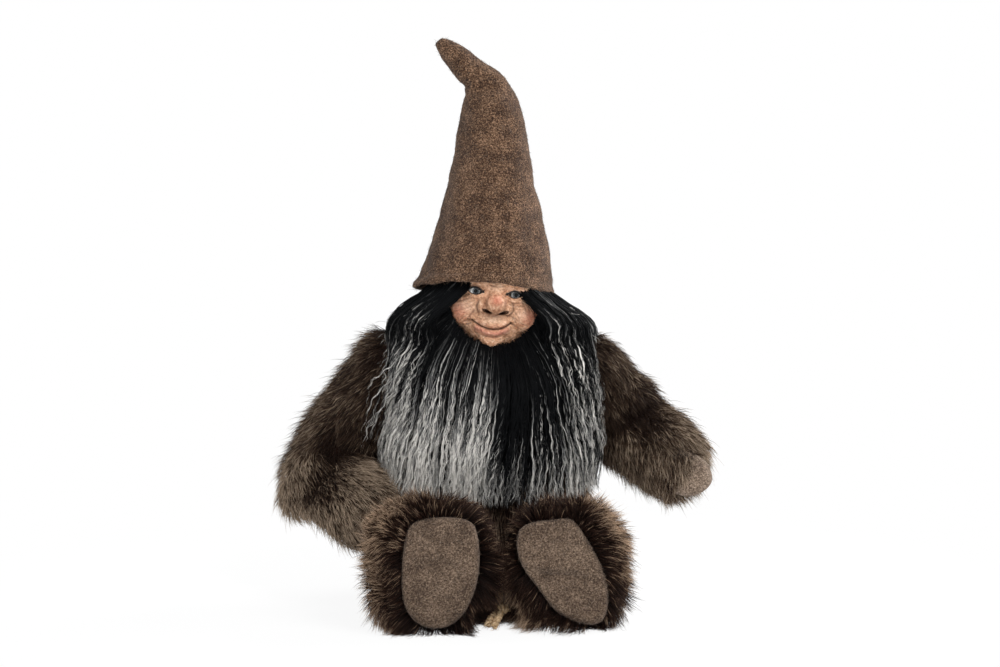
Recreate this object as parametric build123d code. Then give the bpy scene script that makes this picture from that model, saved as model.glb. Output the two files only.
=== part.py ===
from build123d import *
import math
import os

# A seated stuffed troll, in millimetres. +Z is up, the figure looks along -Y, and +X is its left.
# The origin is the middle of the flat seat, on the floor.

# Materials and clearances
FUR = 14.0
FELT = 4.0
MITT_FELT = 3.0
CLEAR = 0.3
SOFT_GAP = 0.5

# Torso: height, half width and half depth of each oval, from the seat to the neck
TORSO_OVALS = [
    (0.0, 86.0, 68.0),
    (12.0, 98.0, 80.0),
    (55.0, 110.0, 88.0),
    (110.0, 110.0, 86.0),
    (160.0, 99.0, 78.0),
    (205.0, 80.0, 66.0),
    (243.0, 59.0, 52.0),
    (262.0, 38.0, 36.0),
]
SEAT_PANEL = 3.0
PELLET_BAG_OVALS = [(10.0, 30.0, 26.0), (20.0, 52.0, 42.0), (40.0, 54.0, 44.0), (54.0, 32.0, 26.0)]

# Neck peg, which turns in the head
PEG_RADIUS = 11.0
PEG_RUN = 0.05
PEG_BOTTOM = 190.0
PEG_TOP = 330.0
COLLAR_RADIUS = 18.0
COLLAR_GAP = 0.4

# Head: height, half width and half depth of each oval, and how the face sits on it
HEAD_BACK = -6.0
HEAD_BOTTOM = 265.0
HEAD_OVALS = [
    (258.0, 22.0, 24.0),
    (285.0, 36.0, 42.0),
    (310.0, 44.0, 49.0),
    (340.0, 45.0, 50.0),
    (370.0, 38.0, 44.0),
    (392.0, 20.0, 24.0),
]
MASK = 6.0
MASK_BOTTOM = 273.0
MASK_TOP = 350.0
MASK_FRONT = -16.0
FACE_ROLL = 6.0
FACE_SHIFT = 3.5
FACE_PIVOT_Z = 300.0
NOSE_RADIUS = 12.0
NOSE_AT = (0.0, -68.0, 317.0)
NOSE_WING_RADIUS = 8.0
NOSE_WING_AT = (11.0, -63.0, 314.0)
NOSE_BRIDGE_RADIUS = 8.0
NOSE_BRIDGE_AT = (0.0, -60.0, 330.0)
CHEEK_RADIUS = 17.0
CHEEK_AT = (25.0, -45.0, 306.0)
CHIN_RADIUS = 13.0
CHIN_AT = (0.0, -47.0, 285.0)
EYE_RADIUS = 8.0
EYE_AT = (19.0, -51.5, 331.0)
EYE_BACK = -55.0

# Hat: middle of each oval, its lean about X and Y, its half width and half depth
HAT_OVALS = [
    ((-4.0, 2.0, 329.0), -9.0, 2.7, 73.5, 75.0),
    ((0.0, 4.0, 360.0), -6.0, 2.0, 68.0, 70.0),
    ((1.0, 6.0, 392.0), -4.0, 1.0, 61.0, 62.0),
    ((2.0, 10.0, 434.0), -3.0, 0.0, 50.0, 50.0),
    ((2.6, 14.0, 476.0), -3.0, 0.0, 40.0, 40.0),
    ((1.5, 17.0, 515.0), -2.0, 0.0, 31.5, 31.5),
    ((1.0, 18.0, 533.0), 0.0, -4.0, 25.0, 25.0),
    ((0.5, 18.0, 544.0), 0.0, -8.0, 18.0, 18.0),
]
HAT_FOLD = (1.0, 18.0, 537.0)
HAT_FOLD_RADIUS = 21.0
HAT_TIP_LEAN = -44.5
HAT_TIP_RINGS = [(7.0, 21.0), (20.0, 18.0), (42.0, 13.5), (64.0, 8.0), (73.0, 4.0)]
HAT_FILL_BOTTOM = 362.0

# Hair and beard
HAIR_TOP = 18.0
HAIR_FLARE_AT = (-2.0, -2.0, 312.0)
HAIR_FLARE_LEAN = (-5.0, 1.5)
HAIR_FLARE_SIZE = (88.0, 85.0)
HAIR_HEM = (286.0, 112.0, 96.0)
HAIR_SPLIT = 46.0
HAIR_PARTING = 0.4
FACE_WINDOW = (46.0, 40.0)
FACE_WINDOW_Z = 313.0
BACK_HAIR_MIDDLE = 10.0
BACK_HAIR_OVALS = [(286.0, 100.0, 84.0), (250.0, 104.0, 80.0), (212.0, 94.0, 74.0)]
BEARD_MIDDLE = -30.0
BEARD_OVALS = [
    (286.0, 112.0, 48.0),
    (250.0, 130.0, 64.0),
    (210.0, 136.0, 72.0),
    (165.0, 124.0, 78.0),
    (128.0, 104.0, 76.0),
]

# Arms: shoulder, elbow and wrist, with the sleeve's radius at each ball and along each half
SHOULDER_RADIUS = 38.0
ELBOW_RADIUS = 41.0
UPPER_RADII = [36.0, 39.0, 39.0]
LOWER_RADII = [39.0, 40.0, 37.0]
LEFT_ARM = [(104.0, 4.0, 243.0), (150.0, -3.0, 182.0), (204.0, -70.0, 146.0)]
RIGHT_ARM = [(-104.0, 4.0, 243.0), (-180.0, 0.0, 138.0), (-116.0, -86.0, 88.0)]
WRIST_SEAT = 20.0
WRIST_RADIUS = 22.0
HAND_OVALS = [
    (0.0, 22.0, 21.5),
    (14.0, 24.0, 19.0),
    (30.0, 23.0, 17.0),
    (43.0, 16.0, 12.0),
    (49.0, 7.0, 5.0),
]
HAND_TURN = {"left": 60.0, "right": 20.0}

# Legs and feet
HIP_RADIUS = 38.0
LEG_RADII = [36.0, 37.0, 36.0]
FOOT_THICK = 58.0
FOOT_CORNER = 44.0
FOOT_ROUNDING = 9.0
SOLE = (39.5, 56.5)
SOLE_THICK = 5.0
SOLE_SUNK = 3.0
LEGS = {
    "left": {
        "hip": (58.0, -115.2, 41.0),
        "sole_plane": -192.0,
        "foot_middle": 78.0,
        "half_width": 57.0,
        "height": 128.0,
        "sole_middle": (71.0, 62.0),
        "sole_turn": -9.0,
    },
    "right": {
        "hip": (-48.0, -118.6, 41.0),
        "sole_plane": -208.0,
        "foot_middle": -60.5,
        "half_width": 60.5,
        "height": 134.0,
        "sole_middle": (-49.0, 63.0),
        "sole_turn": 0.0,
    },
}

# Rope tail between the legs: its route from the body, its knot and its two loose ends
ROPE = 9.5
TAIL_ROUTE = [(8.0, -88.0, 36.0), (8.0, -107.0, 29.5), (9.0, -125.0, 19.5), (10.0, -143.0, 17.0)]
TAIL_BEND = 0.45
KNOT_RADIUS = 9.6
KNOT_LENGTH = 22.0
KNOT_SHOULDERS = (0.3, 0.7)
ROPE_END = 8.0
ROPE_END_TIPS = [(5.0, -180.0, 4.5), (15.0, -181.0, 4.5)]
ROPE_END_ROOT = 3.5

WIDE = 600.0


def oval(half_width, half_depth):
    """A flat oval of four arcs that meet smoothly, each a quarter turn."""
    c = math.cos(math.pi / 4)
    end_radius = (half_depth * c - half_width * (1 - c)) / (2 * c - 1)
    x = half_width - end_radius * (1 - c)
    y = end_radius * c
    arcs = [
        ThreePointArc((x, -y), (half_width, 0), (x, y)),
        ThreePointArc((x, y), (0, half_depth), (-x, y)),
        ThreePointArc((-x, y), (-half_width, 0), (-x, -y)),
        ThreePointArc((-x, -y), (0, -half_depth), (x, -y)),
    ]
    return make_face(arcs)


def level(z, middle=(0, 0)):
    """A level plane at a height."""
    return Plane((middle[0], middle[1], z))


def swell(sections):
    """A smooth body through ovals, each given as its plane, half width and half depth."""
    return loft([plane * oval(a, b) for plane, a, b in sections])


def upright(ovals, inset=0.0, middle=(0, 0), ends=0.0):
    """A body through level ovals, each drawn in by the inset, made longer at both ends."""
    heights = [z for z, _, _ in ovals]
    heights[0] -= ends
    heights[-1] += ends
    return swell([(level(z, middle), a - inset, b - inset) for z, (_, a, b) in zip(heights, ovals)])


def along(start, end):
    """Start point, unit direction and length from one point to another."""
    way = Vector(*end) - Vector(*start)
    return Vector(*start), way.normalized(), way.length


def across(point, way, turn=0.0):
    """The plane through a point, square to a direction, with its width turned from level."""
    side = Vector(0, 0, 1).cross(way).normalized()
    angle = math.radians(turn)
    side = side * math.cos(angle) + way.cross(side) * math.sin(angle)
    return Plane(origin=point, x_dir=side, z_dir=way)


def tube(start, end, radii, extra=0.0):
    """A round body from one point to another, with its radii spread evenly along it."""
    origin, way, length = along(start, end)
    steps = [length * i / (len(radii) - 1) for i in range(len(radii))]
    steps[-1] += extra
    return swell([(across(origin + way * s, way), r, r) for s, r in zip(steps, radii)])


def ball(point, radius):
    return Pos(*point) * Sphere(radius)


def lump(point, radius):
    """A ball with its poles to the front and back, for the face."""
    return Pos(*point) * Rotation(90, 0, 0) * Sphere(radius)


def beyond(point, way):
    """All that lies past a point along a direction."""
    return across(point, way).offset(WIDE / 2) * Box(WIDE, WIDE, WIDE)


def block(x=(-WIDE, WIDE), y=(-WIDE, WIDE), z=(-WIDE, WIDE)):
    """A box between two values along each axis."""
    size = [high - low for low, high in (x, y, z)]
    middle = [(high + low) / 2 for low, high in (x, y, z)]
    return Pos(*middle) * Box(*size)


# Torso


def torso_form(inset=0.0):
    return upright(TORSO_OVALS, inset)


def seat_panel():
    _, a, b = TORSO_OVALS[0]
    return extrude(oval(a - FUR, b - FUR), SEAT_PANEL)


def pellet_bag(gap=0.0):
    return upright(PELLET_BAG_OVALS, -gap, ends=gap)


def post(radius, bottom, top):
    """An upright round post on the neck's axis."""
    return Pos(0, 0, bottom) * extrude(Circle(radius), top - bottom)


def neck_peg():
    """A peg with a collar that keeps the head off the body."""
    collar = post(COLLAR_RADIUS, TORSO_OVALS[-1][0] + COLLAR_GAP, HEAD_BOTTOM - COLLAR_GAP)
    return post(PEG_RADIUS, PEG_BOTTOM, PEG_TOP) + collar


def torso_parts():
    inside = torso_form(FUR)
    cover = torso_form() - torso_form(FUR - CLEAR)
    filling = inside - block(z=(-WIDE, SEAT_PANEL + CLEAR))
    filling -= pellet_bag(CLEAR)
    filling -= post(PEG_RADIUS + CLEAR, PEG_BOTTOM - CLEAR, PEG_TOP)
    return {
        "torso_fur": cover,
        "torso_stuffing": filling,
        "pellet_bag": pellet_bag(),
        "seat_panel": seat_panel(),
        "neck_peg": neck_peg(),
    }


# Head and face


def rolled(shape):
    """Rolls a shape with the face and shifts it to the face's middle line."""
    pivot = Location((FACE_SHIFT, 0, FACE_PIVOT_Z), (0, FACE_ROLL, 0))
    return pivot * Pos(0, 0, -FACE_PIVOT_Z) * shape


def head_core(grow=0.0):
    return rolled(upright(HEAD_OVALS, -grow, (0, HEAD_BACK)))


def both_sides(point):
    x, y, z = point
    return [(-x, y, z), (x, y, z)]


def face_form(grow=0.0):
    """The outside of the moulded face, as a whole solid."""
    front = upright(HEAD_OVALS, -MASK - grow, (0, HEAD_BACK))
    front &= block(y=(-WIDE, MASK_FRONT + grow), z=(MASK_BOTTOM - grow, MASK_TOP + grow))
    front += lump(NOSE_AT, NOSE_RADIUS + grow)
    front += lump(NOSE_BRIDGE_AT, NOSE_BRIDGE_RADIUS + grow)
    front += lump(CHIN_AT, CHIN_RADIUS + grow)
    for side in both_sides(NOSE_WING_AT):
        front += lump(side, NOSE_WING_RADIUS + grow)
    for side in both_sides(CHEEK_AT):
        front += lump(side, CHEEK_RADIUS + grow)
    return rolled(front)


def eye(point):
    """A round eye with a flat back, set in the mask."""
    return rolled(lump(point, EYE_RADIUS) & block(y=(-WIDE, EYE_BACK)))


def head_parts():
    core = head_core() & block(z=(HEAD_BOTTOM, WIDE))
    core -= post(PEG_RADIUS + PEG_RUN, PEG_BOTTOM, PEG_TOP + CLEAR)
    mask = face_form() - head_core(CLEAR)
    right_eye_at, left_eye_at = both_sides(EYE_AT)
    for point in (right_eye_at, left_eye_at):
        mask -= rolled(lump(point, EYE_RADIUS + CLEAR))
    return {
        "head_core": core,
        "face_mask": mask,
        "right_eye": eye(right_eye_at),
        "left_eye": eye(left_eye_at),
    }


# Hat


def leaned(middle, lean_x, lean_y, rise=0.0):
    """A plane leaned about X and Y, raised along its own normal."""
    return Plane(Location(middle, (lean_x, lean_y, 0))).offset(rise)


def hat_form(inset=0.0):
    """The hat's cone up to its fold."""
    return swell([(leaned(m, lx, ly), a - inset, b - inset) for m, lx, ly, a, b in HAT_OVALS])


def hat_cavity(inset):
    """The space inside the cone, open at the brim and closed under the fold."""
    m, lx, ly, a, b = HAT_OVALS[0]
    sections = [(leaned(m, lx, ly, rise), a - inset, b - inset) for rise in (-FELT, 0.0)]
    sections += [(leaned(m, lx, ly), a - inset, b - inset) for m, lx, ly, a, b in HAT_OVALS[1:-2]]
    return swell(sections)


def hat_tip():
    way = Vector(math.sin(math.radians(HAT_TIP_LEAN)), 0, math.cos(math.radians(HAT_TIP_LEAN)))
    origin = Vector(*HAT_FOLD)
    form = swell([(across(origin + way * s, way), r, r) for s, r in HAT_TIP_RINGS])
    form -= hat_form(-SOFT_GAP)
    return form - ball(HAT_FOLD, HAT_FOLD_RADIUS + SOFT_GAP)


def hat_parts():
    cone = hat_form() + ball(HAT_FOLD, HAT_FOLD_RADIUS) - hat_cavity(FELT)
    filling = hat_cavity(FELT + CLEAR) & block(z=(HAT_FILL_BOTTOM, WIDE))
    filling -= head_core(CLEAR)
    return {"hat_cone": cone, "hat_stuffing": filling, "hat_tip": hat_tip()}


# Hair and beard


def hair_skirt():
    """Wool that comes out all round under the brim and flares to the shoulders."""
    m, lx, ly, a, b = HAT_OVALS[0]
    _, _, _, a_up, b_up = HAT_OVALS[1]
    inset = FELT + SOFT_GAP
    sections = [
        (leaned(m, lx, ly, HAIR_TOP), a_up - inset, b_up - inset),
        (leaned(m, lx, ly), a - inset - SOFT_GAP, b - inset - SOFT_GAP),
        (leaned(HAIR_FLARE_AT, *HAIR_FLARE_LEAN), *HAIR_FLARE_SIZE),
        (level(HAIR_HEM[0], (0, HEAD_BACK)), *HAIR_HEM[1:]),
    ]
    return swell(sections)


def face_window():
    """The opening in the wool that shows the face."""
    plane = Plane(origin=(0, MASK_FRONT, FACE_WINDOW_Z), x_dir=(1, 0, 0), z_dir=(0, -1, 0))
    return rolled(extrude(plane * oval(*FACE_WINDOW), WIDE))


def hair_parts():
    skirt = hair_skirt() - head_core(CLEAR) - face_form(CLEAR) - face_window()
    sides = skirt & block(y=(-WIDE, HAIR_SPLIT - HAIR_PARTING))
    back = skirt & block(y=(HAIR_SPLIT, WIDE))
    drape = upright(BACK_HAIR_OVALS, 0.0, (0, BACK_HAIR_MIDDLE)) & block(y=(HAIR_SPLIT, WIDE))
    beard = upright(BEARD_OVALS, 0.0, (0, BEARD_MIDDLE)) & block(y=(-WIDE, -HAIR_SPLIT))
    beard = beard - torso_form(-SOFT_GAP) - face_form(CLEAR) - face_window()
    return {
        "hair_left": sides & block(x=(HAIR_PARTING, WIDE)),
        "hair_right": sides & block(x=(-WIDE, -HAIR_PARTING)),
        "hair_back": back + drape - torso_form(-SOFT_GAP),
        "beard": beard,
    }


# Arms and hands


def arm_form(joints, inset=0.0, extra=0.0):
    """A sleeve bent at the elbow, with a ball at the shoulder seam."""
    shoulder, elbow, wrist = joints
    form = ball(shoulder, SHOULDER_RADIUS - inset)
    form += tube(shoulder, elbow, [r - inset for r in UPPER_RADII])
    form += ball(elbow, ELBOW_RADIUS - inset)
    return form + tube(elbow, wrist, [r - inset for r in LOWER_RADII], extra)


def hand_form(side, joints, inset=0.0):
    """A mitten whose wrist sits in the sleeve's end."""
    _, way, _ = along(joints[1], joints[2])
    plane = across(Vector(*joints[2]), way, HAND_TURN[side])
    sections = [(plane.offset(inset - WRIST_SEAT), WRIST_RADIUS - inset, WRIST_RADIUS - inset)]
    last = HAND_OVALS[-1][0]
    for reach, a, b in HAND_OVALS:
        reach = min(reach, last - inset)
        sections.append((plane.offset(reach), a - inset, b - inset))
    return swell(sections)


def arm_parts(side, joints):
    cover = arm_form(joints) - arm_form(joints, FUR - CLEAR, FUR)
    elbow, way, length = along(joints[1], joints[2])
    filling = arm_form(joints, FUR) - beyond(elbow + way * (length - WRIST_SEAT - CLEAR), way)
    return {
        f"{side}_arm_fur": cover,
        f"{side}_arm_stuffing": filling,
        f"{side}_hand_felt": hand_form(side, joints) - hand_form(side, joints, MITT_FELT - CLEAR),
        f"{side}_hand_stuffing": hand_form(side, joints, MITT_FELT),
    }


# Legs and feet


def leg_form(leg, inset=0.0, extra=0.0):
    hip = leg["hip"]
    end = (hip[0], leg["sole_plane"] + FOOT_THICK, hip[2])
    return ball(hip, HIP_RADIUS - inset) + tube(hip, end, [r - inset for r in LEG_RADII], extra)


def foot_form(leg, inset=0.0):
    """A block with round corners that stands on the floor with its sole to the front."""
    middle = Vector(leg["foot_middle"], 0, leg["height"] / 2)
    front = leg["sole_plane"]
    stations = [
        (front + inset, FOOT_ROUNDING / 2),
        (front + FOOT_THICK / 2, 0.0),
        (front + FOOT_THICK - inset, FOOT_ROUNDING),
    ]
    faces = []
    for y, draw_in in stations:
        plane = Plane(origin=middle + Vector(0, y, 0), x_dir=(1, 0, 0), z_dir=(0, -1, 0))
        cut = inset + draw_in
        size = (2 * (leg["half_width"] - cut), leg["height"] - 2 * cut)
        faces.append(plane * RectangleRounded(*size, FOOT_CORNER - cut))
    return loft(faces) & block(z=(inset, WIDE))


def sole(leg, grow=0.0):
    x, z = leg["sole_middle"]
    back = Vector(x, leg["sole_plane"] + SOLE_SUNK + grow, z)
    plane = across(back, Vector(0, -1, 0), leg["sole_turn"])
    return extrude(plane * oval(SOLE[0] + grow, SOLE[1] + grow), SOLE_THICK + grow)


def leg_parts(side, leg):
    back = leg["sole_plane"] + FOOT_THICK
    cover = leg_form(leg) - leg_form(leg, FUR - CLEAR, FUR)
    foot = foot_form(leg) - foot_form(leg, FUR - CLEAR) - sole(leg, CLEAR)
    return {
        f"{side}_leg_fur": cover & block(y=(back + CLEAR, WIDE)),
        f"{side}_leg_stuffing": leg_form(leg, FUR) & block(y=(back + CLEAR, WIDE)),
        f"{side}_foot_fur": foot,
        f"{side}_foot_stuffing": foot_form(leg, FUR),
        f"{side}_sole": sole(leg),
    }


# Rope tail


def bend_radii(points):
    """The largest arc that fits each corner of the route."""
    radii = []
    for before, here, after in zip(points, points[1:], points[2:]):
        run_in = Vector(*here) - Vector(*before)
        run_out = Vector(*after) - Vector(*here)
        half_turn = math.radians(run_in.get_angle(run_out)) / 2
        radii.append(TAIL_BEND * min(run_in.length, run_out.length) / math.tan(half_turn))
    return radii


def tail_parts():
    radii = bend_radii(TAIL_ROUTE)
    route = FilletPolyline(*TAIL_ROUTE, radius=radii)
    section = Plane(origin=route @ 0, z_dir=route % 0) * Circle(ROPE / 2)
    rope = sweep(section, path=route)
    print("tail bends", [round(r, 1) for r in radii], "length", round(route.length, 1))
    print("tail volume", round(rope.volume), "of", round(math.pi * ROPE**2 / 4 * route.length))
    start = Vector(*TAIL_ROUTE[-1])
    _, way, _ = along(TAIL_ROUTE[-2], TAIL_ROUTE[-1])
    rings = [(KNOT_LENGTH * share, KNOT_RADIUS) for share in KNOT_SHOULDERS]
    rings = [(0.0, ROPE / 2)] + rings + [(KNOT_LENGTH, ROPE / 2)]
    knot = swell([(across(start + way * s, way), r, r) for s, r in rings])
    root = start + way * KNOT_LENGTH
    ends = []
    for x, y, z in ROPE_END_TIPS:
        side = ROPE_END_ROOT * (1 if x > root.X else -1)
        ends.append(tube((root.X + side, root.Y, root.Z), (x, y, z), [ROPE_END / 2] * 2))
    return {"tail_rope": rope, "tail_knot": knot, "tail_ends": ends}


def main():
    os.makedirs("parts", exist_ok=True)
    parts = torso_parts() | head_parts() | hat_parts() | hair_parts()
    parts |= arm_parts("left", LEFT_ARM) | arm_parts("right", RIGHT_ARM)
    for side, leg in LEGS.items():
        parts |= leg_parts(side, leg)
    parts |= tail_parts()
    for name, shape in parts.items():
        solids = shape if isinstance(shape, list) else shape.solids()
        whole = solids[0] if len(solids) == 1 else Compound(children=list(solids))
        export_step(whole, f"parts/{name}.step")


if __name__ == "__main__":
    main()
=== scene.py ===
import functools
import math
import zlib

import bpy
import numpy as np
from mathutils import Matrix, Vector
from mathutils.bvhtree import BVHTree
from mathutils.kdtree import KDTree


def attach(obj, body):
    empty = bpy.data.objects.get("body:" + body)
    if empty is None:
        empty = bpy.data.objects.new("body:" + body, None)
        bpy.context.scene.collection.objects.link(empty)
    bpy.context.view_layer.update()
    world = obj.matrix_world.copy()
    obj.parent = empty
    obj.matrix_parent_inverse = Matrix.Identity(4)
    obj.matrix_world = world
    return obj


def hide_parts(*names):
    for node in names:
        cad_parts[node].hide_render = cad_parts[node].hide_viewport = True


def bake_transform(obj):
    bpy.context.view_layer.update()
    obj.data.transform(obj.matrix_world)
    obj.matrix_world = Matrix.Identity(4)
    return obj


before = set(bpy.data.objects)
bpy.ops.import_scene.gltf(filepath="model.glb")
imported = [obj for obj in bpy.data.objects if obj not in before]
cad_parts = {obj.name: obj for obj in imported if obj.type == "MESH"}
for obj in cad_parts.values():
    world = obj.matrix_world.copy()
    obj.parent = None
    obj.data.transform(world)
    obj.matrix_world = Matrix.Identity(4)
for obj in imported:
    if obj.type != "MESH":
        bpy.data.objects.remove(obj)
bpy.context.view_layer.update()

# A seated stuffed troll. Lengths here are in millimetres, and meshes are made in metres.
# +Z is up, the figure looks along -Y, and +X is its left.
MM = 0.001
SIDES = {"left": 1, "right": -1}

# Camera, at the height and distance of the photograph
CAMERA_TARGET = (10.0, 0.0, 282.0)
CAMERA_DISTANCE = 2700.0
CAMERA_ELEVATION = 5.0
CAMERA_LENS = 91.8

# Fur: how far the fabric lies outside the stuffing, and the strands
HIDE_OUT = 5.0
HIDE_VOXEL = 4.0
SEAT_GAP = 1.5
SLEEVE_OUT = {"left": 8.5, "right": 13.0}
FUR_LENGTH = 24.0
FUR_ARM = {"left": 26.0, "right": 25.0}
FUR_WRIST = 26.0
FUR_LEG = 30.0
FUR_ARM_DROOP = {"left": 0.4, "right": 0.1}
# Fur tone of each upper arm and forearm; the upper arm's dark is partly painted shade
ARM_TONE_AND_SHADE = {"left": (-0.24, -0.02), "right": (-0.26, 0.34)}
FUR_RADIUS = 0.27
FUR_STEPS = np.array([0.0, 0.38, 0.72, 1.0])
FUR_TAPER = np.array([1.0, 0.9, 0.6, 0.0])
FUR_PER_CLUMP = 7
FUR_PER_PIECE = 12000
FUR_STRAYS = 0.08
FLOOR = 0.6

# Where the fur stops along X (on the right) and along Y (in front), and how softly
FUR_STOPS = {0: (-234.0, 8.0), 1: (-221.0, 5.0)}

# How many roots are strewn over each fabric, before those on bald places are dropped
PILE = {
    "torso": 20000, "rim": 32000, "arm": 28500, "wrist": 7000, "leg": 4500, "foot": 20000, "between": 40000,
}

# Felt's loose fibres: how many, their length and their radius
FUZZ = {"mitten": (1700, 3.6), "sole": (2600, 4.0), "hat": (8000, 5.0)}
FUZZ_RADIUS = 0.13

# Size of the even faces that felt gets, and how far stuffing keeps inside its cover
HAT_VOXEL = 1.7
HAND_VOXEL = 1.6
HAND_FILLING_VOXEL = 3.0
FILLING_IN = {"arm": 3.0, "hand": 1.0, "hat": 5.0}

# Arms: the line from shoulder to wrist, the dark fold inside each elbow as seen from the front, how the
# sleeve and its fur hang, and how each hand is turned and moved
ARM_LINE = {
    "left": [(104.0, 4.0, 243.0), (150.0, -3.0, 182.0), (204.0, -70.0, 146.0)],
    "right": [(-104.0, 4.0, 243.0), (-180.0, 0.0, 138.0), (-116.0, -86.0, 88.0)],
}
ELBOW_FOLD = {
    "left": [(150.0, 205.0), (162.0, 190.0)],
    "right": [(-158.0, 168.0), (-172.0, 146.0), (-190.0, 124.0)],
}
ELBOW_DROOP = {"left": 0.0, "right": 0.9}
FOREARM_TRIM = {"left": 0.0, "right": 0.22}
ARM_HANG = {"left": 0.4, "right": 0.05}
HAND_SEAM_TURN = {"left": 60.0, "right": 20.0}
HAND_SHIFT = {"left": (-9.5, -1.0, 0.5), "right": (-3.0, 6.0, 3.0)}

# Feet: the middle of each sole, its front plane and its outline as seen from the front
SOLES = {
    "right": {
        "middle": (-49.0, 63.0),
        "front": -208.0,
        "outline": [
            (-30.5, 51.0), (1.0, 56.0), (32.0, 52.5), (38.0, 34.0), (39.2, 8.0), (35.0, -17.0),
            (24.0, -42.0), (9.0, -54.0), (-9.0, -56.5), (-25.0, -50.0), (-36.0, -34.0),
            (-38.8, -8.0), (-36.4, 24.0),
        ],
        "crease": 0.0,
    },
    "left": {
        "middle": (72.0, 61.5),
        "front": -192.0,
        "outline": [
            (-44.0, 41.0), (-33.0, 48.5), (-10.0, 51.5), (9.0, 53.5), (20.0, 40.0), (34.5, 15.0),
            (44.5, -8.0), (46.0, -31.0), (41.0, -51.0), (27.0, -54.5), (8.0, -49.5), (-9.0, -39.0),
            (-24.0, -17.0), (-39.0, 2.0), (-46.0, 22.0),
        ],
        "crease": 1.0,
    },
}

# How far forward the roots of the fur between the feet go, where its tips lie across, and how far back
FUR_BETWEEN = {
    "left": {"front": -156.0, "across": (2.0, 30.0), "back": (-12.0, 6.0)},
    "right": {"front": -182.0, "across": (-16.0, 14.0), "back": (6.0, 26.0)},
}

# Wool: the steps along a lock, its strands, and how many locks there are
WOOL_STEPS = np.linspace(0, 1, 34) ** 0.85
WOOL_RADIUS = 0.32
WOOL_PER_PIECE = 1000
LOCKS = {"beard": 610, "side": 290, "stray": 44, "back": 230}
FRIZZ = 900
FRIZZ_RADIUS = 0.12

# Side hair: the angle of the lock next to the face, how far it bows out round the cheek, its grey, and
# how far out and how grey its stray locks are
SIDE_HAIR = {
    "left": {"start": 30.0, "bow": 12.0, "grey": 0.45, "streak": 0.05, "far": 1.1, "stray": 0.4},
    "right": {"start": 24.0, "bow": 17.0, "grey": 0.43, "streak": 0.14, "far": 1.2, "stray": 0.55},
}

# Head as an ellipsoid, and the face's roll about a pivot
HEAD_MIDDLE = (0.0, -6.0, 327.0)
HEAD_HALF = (52.0, 57.0, 74.0)
FACE_ROLL = math.radians(6.0)
FACE_PIVOT = (3.5, 300.0)
FACE_MIDDLE_Z = 309.0
FACE_HALF = (48.0, 45.0)
FACE_GRID = 212
FACE_THICKNESS = 3.0
EYE_X = {"left": 19.2, "right": -22.2}
EYE_GAZE = {"left": 0.14, "right": 0.03}
EYE_Z = 328.8
EYE_DEPTH = 46.6
EYE_RADIUS = 8.0

# Hat: its brim's plane (middle and leans), the fold of its tip, how far the fold's bend reaches below
# and above that, the way of the tip, and the crease beside the fold
HAT_BRIM = ((-4.0, 2.0, 329.0), -9.0, 2.7)
HAT_FOLD = np.array([1.0, 18.0, 537.0])
HAT_TIP_WAY = np.array([-math.sin(math.radians(44.5)), 0.0, math.cos(math.radians(44.5))])
HAT_NOTCH = (-27.0, 544.5)

# Rope: its diameter, the route that it follows, the radii of its knot and ends, where these end, and how
# many frayed fibres each has
ROPE = 9.5
ROPE_ROUTE = [(8.0, -88.0, 36.0), (8.0, -107.0, 29.5), (9.0, -125.0, 19.5), (10.0, -143.0, 17.0)]
KNOT_RADIUS = 4.1
END_RADIUS = 3.7
END_TIPS = [(-2.5, -180.0, 5.0), (3.5, -182.0, 4.5)]
FRAY = 90
FRAY_RADIUS = 0.28


# Small helpers


def random_for(name):
    """A random source of its own for each piece, the same in every run."""
    return np.random.default_rng(zlib.crc32(name.encode()))


def unit(vectors):
    """Vectors along the last axis, each made one long."""
    return vectors / np.maximum(np.linalg.norm(vectors, axis=-1, keepdims=True), 1e-9)


def ease(low, high, x):
    """A smooth step from 0 at low to 1 at high."""
    t = np.clip((x - low) / (high - low), 0, 1)
    return t * t * (3 - 2 * t)


def hump(offset, width):
    """One in the middle, falling away softly on both sides."""
    return np.exp(-((offset / width) ** 2))


def most(*layers):
    """The largest of several values at each place."""
    return functools.reduce(np.maximum, layers)


def rounded_line(points, times=4):
    """A line with its corners cut again and again, until it is smooth."""
    line = np.array(points, float)
    for _ in range(times):
        quarter = line[:-1] * 0.75 + line[1:] * 0.25
        three_quarters = line[:-1] * 0.25 + line[1:] * 0.75
        inner = np.stack([quarter, three_quarters], 1).reshape(-1, line.shape[1])
        line = np.concatenate([line[:1], inner[1:-1], line[-1:]])
    return line


def spaced(line, count):
    """Points at even steps along a line."""
    steps = np.concatenate([[0], np.cumsum(np.linalg.norm(np.diff(line, axis=0), axis=1))])
    at = np.linspace(0, steps[-1], count)
    return np.stack([np.interp(at, steps, line[:, i]) for i in range(line.shape[1])], 1)


def closed_outline(points, count):
    """A smooth closed line near the points, at even steps."""
    line = np.array(points, float)
    for _ in range(4):
        after = np.roll(line, -1, 0)
        line = np.stack([line * 0.75 + after * 0.25, line * 0.25 + after * 0.75], 1).reshape(-1, 2)
    return spaced(np.concatenate([line, line[:1]]), count + 1)[:-1]


def add_object(name, mesh, material):
    obj = bpy.data.objects.new(name, mesh)
    bpy.context.scene.collection.objects.link(obj)
    mesh.materials.append(material)
    return obj


def add_value(mesh, name, values):
    """A number at each point, which a material can read."""
    attribute = mesh.attributes.new(name, "FLOAT", "POINT")
    attribute.data.foreach_set("value", values.astype(np.float32))


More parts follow.
